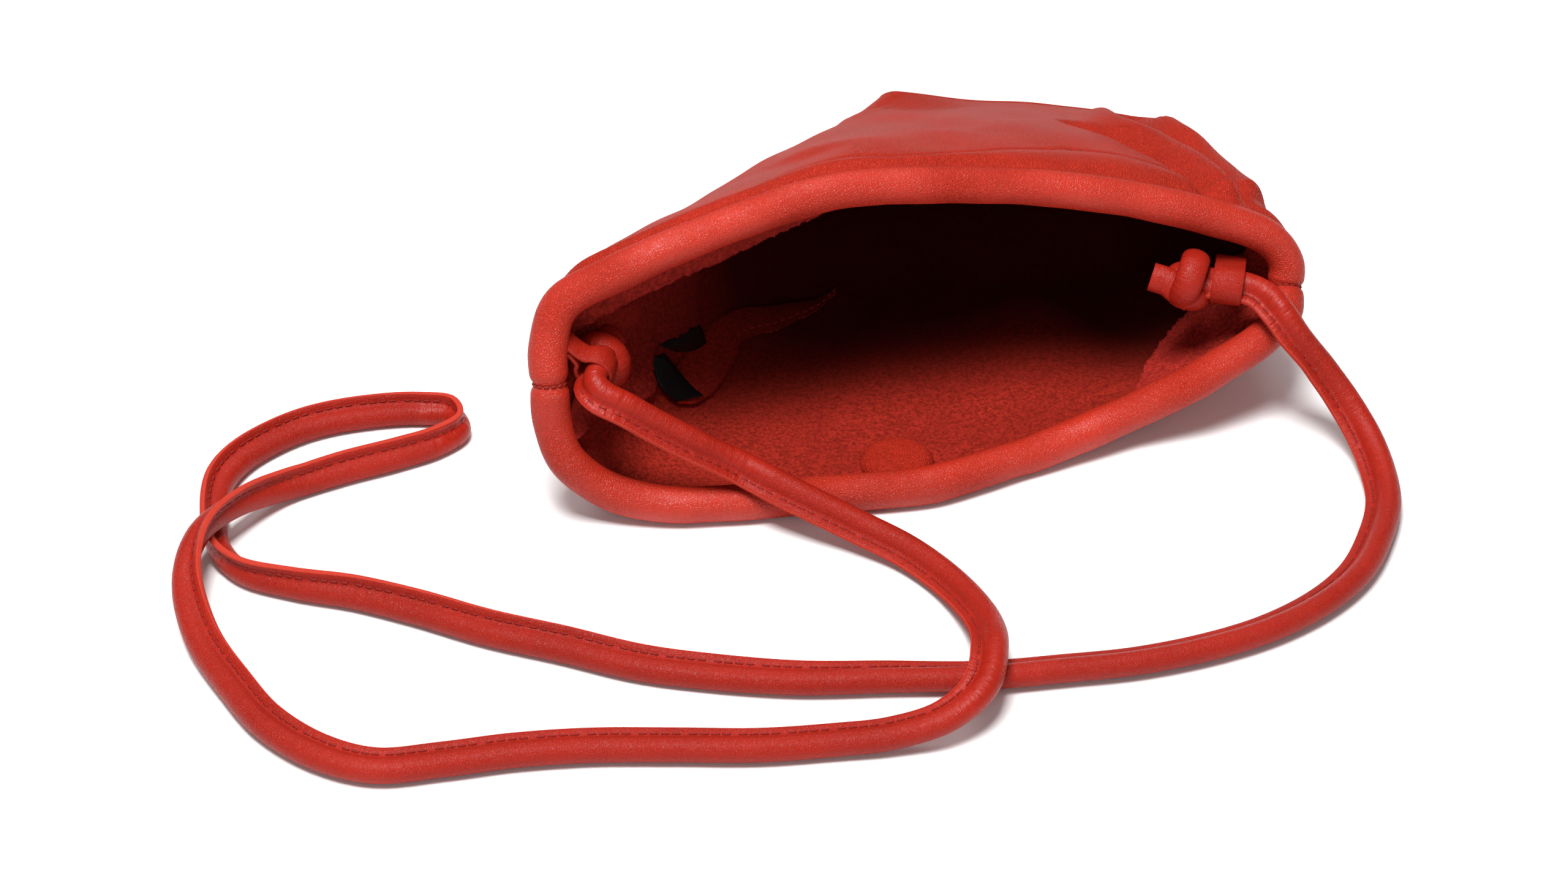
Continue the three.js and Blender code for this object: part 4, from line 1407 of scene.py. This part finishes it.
@dataclass
class Inside:
    """What is sewn inside the mouth: facings, pocket, magnets, labels and turned seam edges."""

    shape: PouchShape
    front: Panel
    back: Panel
    finishes: Finishes
    facing_drops: tuple = (
        (0.03, 24), (0.06, 21), (0.1, 19), (0.16, 18.5), (0.22, 18.5), (0.3, 18), (0.37, 16), (0.44, 12),
        (0.5, 9),
    )
    right_patch_runs: tuple = (
        (0.985, 34), (0.94, 46), (0.87, 46), (0.833, 44), (0.8, 36), (0.779, 26), (0.76, 12),
    )
    pocket_runs: tuple[float, float] = (40, 106)
    pocket_drop: float = 1.6
    cap_profile: tuple = (
        (12.2, -0.5), (12.1, 0.7), (11.7, 2.0), (10.9, 3.2), (9.6, 4.1), (7.4, 4.55), (3.6, 4.7), (0.0, 4.75),
    )
    cap_share: float = 0.45
    cap_steps: int = 48

    def drop_line(self, side: Side, drops: Sequence[tuple[float, float]], into: float) -> np.ndarray:
        """A line hung below the tucked edge of a roll.

        Args:
            side: The panel.
            drops: Pairs of mouth share and drop, in millimetres.
            into: How far the line stands into the pouch.

        Returns:
            Points of the line.
        """
        shares = np.array([share for share, _ in drops])
        _, _, inward, _ = self.shape.rim_frames(side, shares)
        down = np.array([drop for _, drop in drops])
        return self.shape.tail(side, shares, 0.8) + inward * into - UP * down[:, None]

    def build(self) -> None:
        """Makes every piece inside the mouth."""
        finishes = self.finishes
        level = [(share, 0.0) for share, _ in self.facing_drops]
        facing = RaggedSheet(
            "left_facing",
            self.drop_line(Side.FRONT, level, 0.5),
            self.drop_line(Side.FRONT, self.facing_drops, 1.0),
            # The facing's painted shade grows towards its right end.
            ragged=0.35, painted_shade=(0.0, 0.6), across=420,
        )
        facing_piece = facing.build(finishes.patch, finishes.patch, "suede")
        patch = RaggedSheet(
            "left_patch",
            (
                (-58, 62, 44), (-69, 56, 45), (-82, 47, 46), (-93, 37, 45), (-104, 26, 41), (-111, 16, 35),
                (-116, 6, 30), (-119, -3, 28),
            ),
            (
                (-60, 54, 25), (-68.5, 47.5, 26), (-79, 40.5, 28), (-81.5, 36.5, 24.5), (-82.5, 30, 18),
                (-93, 22, 19), (-106, 13, 23), (-114, 2, 25),
            ),
            # The left patch's painted shade is darkest at its deep end and fades towards the seam.
            ragged=0.5, sag=2.0, painted_shade=(0.85, 0.0), across=300, down=22,
        )
        patch_piece = patch.build(finishes.patch, finishes.patch, "suede")
        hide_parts("left_side_patch")
        self.labels()
        self.seam_band()
        self.right_patch()
        self.pocket()
        for side in Side:
            self.magnet_cover(side)

    def labels(self) -> None:
        """The two plain black satin tabs."""
        upper = RaggedSheet(
            "upper_tab",
            np.array([(-79.5, 44, 26.5), (-73.7, 48.5, 26), (-61.4, 58.5, 24.5)]) + TO_VIEWER * 3.0,
            np.array([(-71, 46.9, 19.7), (-63.2, 51.3, 16), (-58.3, 55.1, 15.3)]) + TO_VIEWER * 3.6,
            thickness=0.4, sag=-0.6, across=24, down=12,
        ).build(self.finishes.satin, self.finishes.satin, "satin")
        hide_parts("upper_label")
        lower = RaggedSheet(
            "lower_tab",
            np.array([(-81.5, 41, 23), (-79, 35.5, 14.2), (-74.5, 33.5, 9.3)]) + TO_VIEWER * 3.4,
            np.array([(-75.5, 44.3, 21.8), (-67.5, 39.5, 10), (-64.2, 37.9, 6.8)]) + TO_VIEWER * 4.8,
            thickness=0.4, sag=-0.9, across=24, down=12,
        ).build(self.finishes.satin, self.finishes.satin, "satin")
        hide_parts("lower_label")

    def seam_band(self, stitch_row: int = 11, pitch: float = 3.6) -> None:
        """The turned-in edge of the left seam, with its stitches.

        Args:
            stitch_row: Row of the band's points that the stitches follow.
            pitch: Distance from one stitch to the next, in millimetres.
        """
        edge = np.array(
            [
                (-73.5, 33.3, 9.3), (-68.2, 34.5, 7.2), (-61.6, 38.7, 6.0), (-55.2, 45.4, 6.4),
                (-50.5, 51.5, 7.4), (-46.9, 56.7, 8.5), (-43.9, 61.0, 9.6), (-36.3, 65.4, 8.3),
                (-29.9, 68.2, 6.8), (-20.6, 73.3, 6.0), (-12.2, 78.4, 5.2), (-2.6, 87.7, 5.3),
            ]
        )
        root = np.array(
            [
                (-79, 37, 15), (-76, 40, 16), (-71, 45, 16.5), (-66, 50, 17.5), (-60, 56, 18.5), (-54, 61, 19),
                (-49, 65, 19), (-41, 70, 17), (-33, 73, 14), (-23, 77, 11), (-13, 81.5, 8), (-2.6, 88.7, 6),
            ]
        )
        band = RaggedSheet(
            "left_seam_edge", root + TO_VIEWER * 1.2, edge + TO_VIEWER * 2.4,
            # The band's painted shade grows as it runs deeper into the pouch.
            thickness=1.6, ragged=0.15, sag=-1.0, painted_shade=(0.1, 0.95), across=160,
        )
        piece = band.build(self.finishes.suede, self.finishes.raw_edge, "suede")
        row = band.points[:, stitch_row]
        lengths = run_lengths(row)
        line = points_at(lengths, row, np.arange(2.0, lengths[-1], pitch))
        Stitches(2.3, 0.36).build(
            "seam_edge_stitches", line + TO_VIEWER * 0.25, tangents_of(line), self.finishes.thread
        )

    def right_patch(self) -> None:
        """The suede facing over the right seam."""
        back = self.back
        lines = []
        for share, run in self.right_patch_runs:
            column = back.column_at(share)
            first, last = back.row_at(column, 2.0), back.row_at(column, run)
            lines.append(back.inside[column, [first, (first + last) // 2, last]])
        root, middle, edge = np.stack(lines, axis=1)
        lift = UP * 4.0
        piece = RaggedSheet(
            "right_patch", root + lift, edge + lift, ragged=0.8, across=260, down=24,
            sag=float(np.mean((root + edge)[:, 2] / 2 - middle[:, 2])) * 0.55,
        ).build(self.finishes.patch, self.finishes.patch, "suede")
        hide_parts("right_side_patch")

    def pocket(self) -> None:
        """The slip pocket on the inside of the front panel."""
        front = self.front
        lines = []
        for share in np.linspace(0.3, 0.75, 12):
            column = front.column_at(share)
            lines.append(front.inside[column, [front.row_at(column, run) for run in self.pocket_runs]])
        root, edge = np.stack(lines, axis=1) - UP * self.pocket_drop
        piece = RaggedSheet(
            "slip_pocket", root, edge, ragged=0.2, thickness=1.1, across=120, down=24
        ).build(self.finishes.suede, self.finishes.raw_edge, "suede")
        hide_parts("inner_pocket")

    def magnet_cover(self, side: Side) -> None:
        """The leather cap over a hidden magnet.

        Args:
            side: The panel that carries it.
        """
        name = side.label
        panel = self.front if side is Side.FRONT else self.back
        low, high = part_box(f"{name}_magnet_cover")
        middle = np.array((low + high) / 2)
        column = panel.column_at(self.cap_share)
        row = int(np.argmin(np.linalg.norm(to_part(panel.inside[column]) - middle, axis=1)))
        inward = Vector(-panel.normals(panel.outside)[column, row])
        work = bmesh.new()
        line = [work.verts.new((radius * MM, 0, rise * MM)) for radius, rise in self.cap_profile]
        for first, second in zip(line, line[1:]):
            work.edges.new((first, second))
        bmesh.ops.spin(
            work, geom=work.verts[:] + work.edges[:], axis=(0, 0, 1), cent=(0, 0, 0),
            steps=self.cap_steps, angle=math.tau, use_merge=True,
        )
        bmesh.ops.remove_doubles(work, verts=work.verts, dist=1e-6)
        rim = [edge for edge in work.edges if edge.is_boundary]
        bmesh.ops.contextual_create(work, geom=rim)
        turn = inward.to_track_quat("Z", "X").to_matrix().to_4x4()
        place = Matrix.Translation(Vector(to_part(panel.inside[column, row]))) @ turn
        bmesh.ops.transform(work, matrix=place, verts=work.verts)
        bmesh.ops.recalc_face_normals(work, faces=work.faces)
        mesh = bpy.data.meshes.new(f"{name}_magnet_cap")
        work.to_mesh(mesh)
        work.free()
        mesh.polygons.foreach_set("use_smooth", [True] * len(mesh.polygons))
        mesh.materials.append(self.finishes.panel)
        piece = bpy.data.objects.new(f"{name}_magnet_cap", mesh)
        bpy.context.collection.objects.link(piece)
        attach(piece, "root")
        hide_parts(f"{name}_magnet_cover")
        log.info("%s_magnet_cap at %s", name, tuple(round(v, 4) for v in middle))


@dataclass
class Pouch:
    """The two panels, what is sewn in them, and the strap."""

    finishes: Finishes

    def build(self) -> None:
        """Makes every piece, the strap first."""
        shape = PouchShape()
        Strap(shape, self.finishes).build()
        front, back = Panel(shape, Side.FRONT), Panel(shape, Side.BACK)
        for panel in (front, back):
            piece = panel.build(self.finishes)
            stitches = panel.stitch_row(self.finishes)
        self.seam_stitches(shape)
        Inside(shape, front, back, self.finishes).build()
        for name, material in (
            ("front_rim_filler", self.finishes.felt),
            ("back_rim_filler", self.finishes.felt),
            ("front_magnet", self.finishes.nickel),
            ("back_magnet", self.finishes.nickel),
        ):
            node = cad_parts[name]
            node.data.materials.clear()
            node.data.materials.append(material)

    def seam_stitches(self, shape: PouchShape) -> None:
        """The stitches across the roll at both side seams.

        Args:
            shape: The pouch's form.
        """
        for name, share in (("left", 0.0), ("right", 1.0)):
            frames = shape.rim_frames(Side.FRONT, np.array([share]))
            centre, _, inward, outward = (row[0] for row in frames)
            angles = np.radians(np.arange(10, 260, 26))
            ways = -np.sin(angles)[:, None] * outward - np.cos(angles)[:, None] * inward
            centres = centre + (shape.rim_radius - 0.95) * (
                np.cos(angles)[:, None] * outward - np.sin(angles)[:, None] * inward
            )
            Stitches(1.9, 0.45).build(f"{name}_seam_stitches", centres, ways, self.finishes.thread)


@dataclass(frozen=True)
class Lamp:
    """A soft rectangular light."""

    name: str
    place: Place
    target: Place
    size: tuple[float, float]
    power: float
    colour: Colour = (1.0, 1.0, 1.0)

    def make(self) -> None:
        """Adds the light."""
        data = bpy.data.lights.new(self.name, "AREA")
        data.shape = "RECTANGLE"
        data.size, data.size_y = self.size
        data.energy = self.power
        data.color = self.colour
        light = bpy.data.objects.new(self.name, data)
        aim(light, self.place, self.target)


@dataclass
class Studio:
    """The floor, the soft lights and the white surroundings."""

    ambient: float = 0.26
    mirrored: float = 0.05
    seen: float = 1.1

    def make(self) -> None:
        """Builds the studio."""
        work = bmesh.new()
        bmesh.ops.create_grid(work, x_segments=2, y_segments=2, size=6.0)
        mesh = bpy.data.meshes.new("floor")
        work.to_mesh(mesh)
        work.free()
        mesh.materials.append(Backdrop().make())
        floor = bpy.data.objects.new("floor", mesh)
        bpy.context.collection.objects.link(floor)
        Lamp("key", (-0.35, -0.4, 1.6), (0.0, 0.0, 0.0), (0.6, 0.6), 37.0).make()
        Lamp("front", (-0.7, -1.6, 0.9), (0.0, 0.0, 0.03), (0.7, 0.5), 4.0).make()
        Lamp("rear", (0.3, 1.2, 1.3), (0.0, 0.05, 0.05), (0.7, 0.35), 6.0).make()
        world = bpy.data.worlds.new("surroundings")
        world.use_nodes = True
        tree = world.node_tree
        tree.nodes.clear()
        ray = tree.nodes.new("ShaderNodeLightPath")
        out = tree.nodes.new("ShaderNodeOutputWorld")
        levels = {"lit": self.ambient, "Is Glossy Ray": self.mirrored, "Is Camera Ray": self.seen}
        shader = None
        for name, level in levels.items():
            light = tree.nodes.new("ShaderNodeBackground")
            light.inputs["Strength"].default_value = level
            if shader is None:
                shader = light.outputs[0]
                continue
            mix = tree.nodes.new("ShaderNodeMixShader")
            tree.links.new(ray.outputs[name], mix.inputs[0])
            tree.links.new(shader, mix.inputs[1])
            tree.links.new(light.outputs[0], mix.inputs[2])
            shader = mix.outputs[0]
        tree.links.new(shader, out.inputs["Surface"])
        bpy.context.scene.world = world


def set_view() -> None:
    """Sets plain colours."""
    bpy.context.scene.view_settings.view_transform = "Standard"


def main() -> None:
    """Builds the scene."""
    logging.basicConfig(level=logging.INFO, format="%(name)s %(message)s")
    View().make()
    set_view()
    Pouch(Finishes()).build()
    Studio().make()


if __name__ == "__main__":
    main()
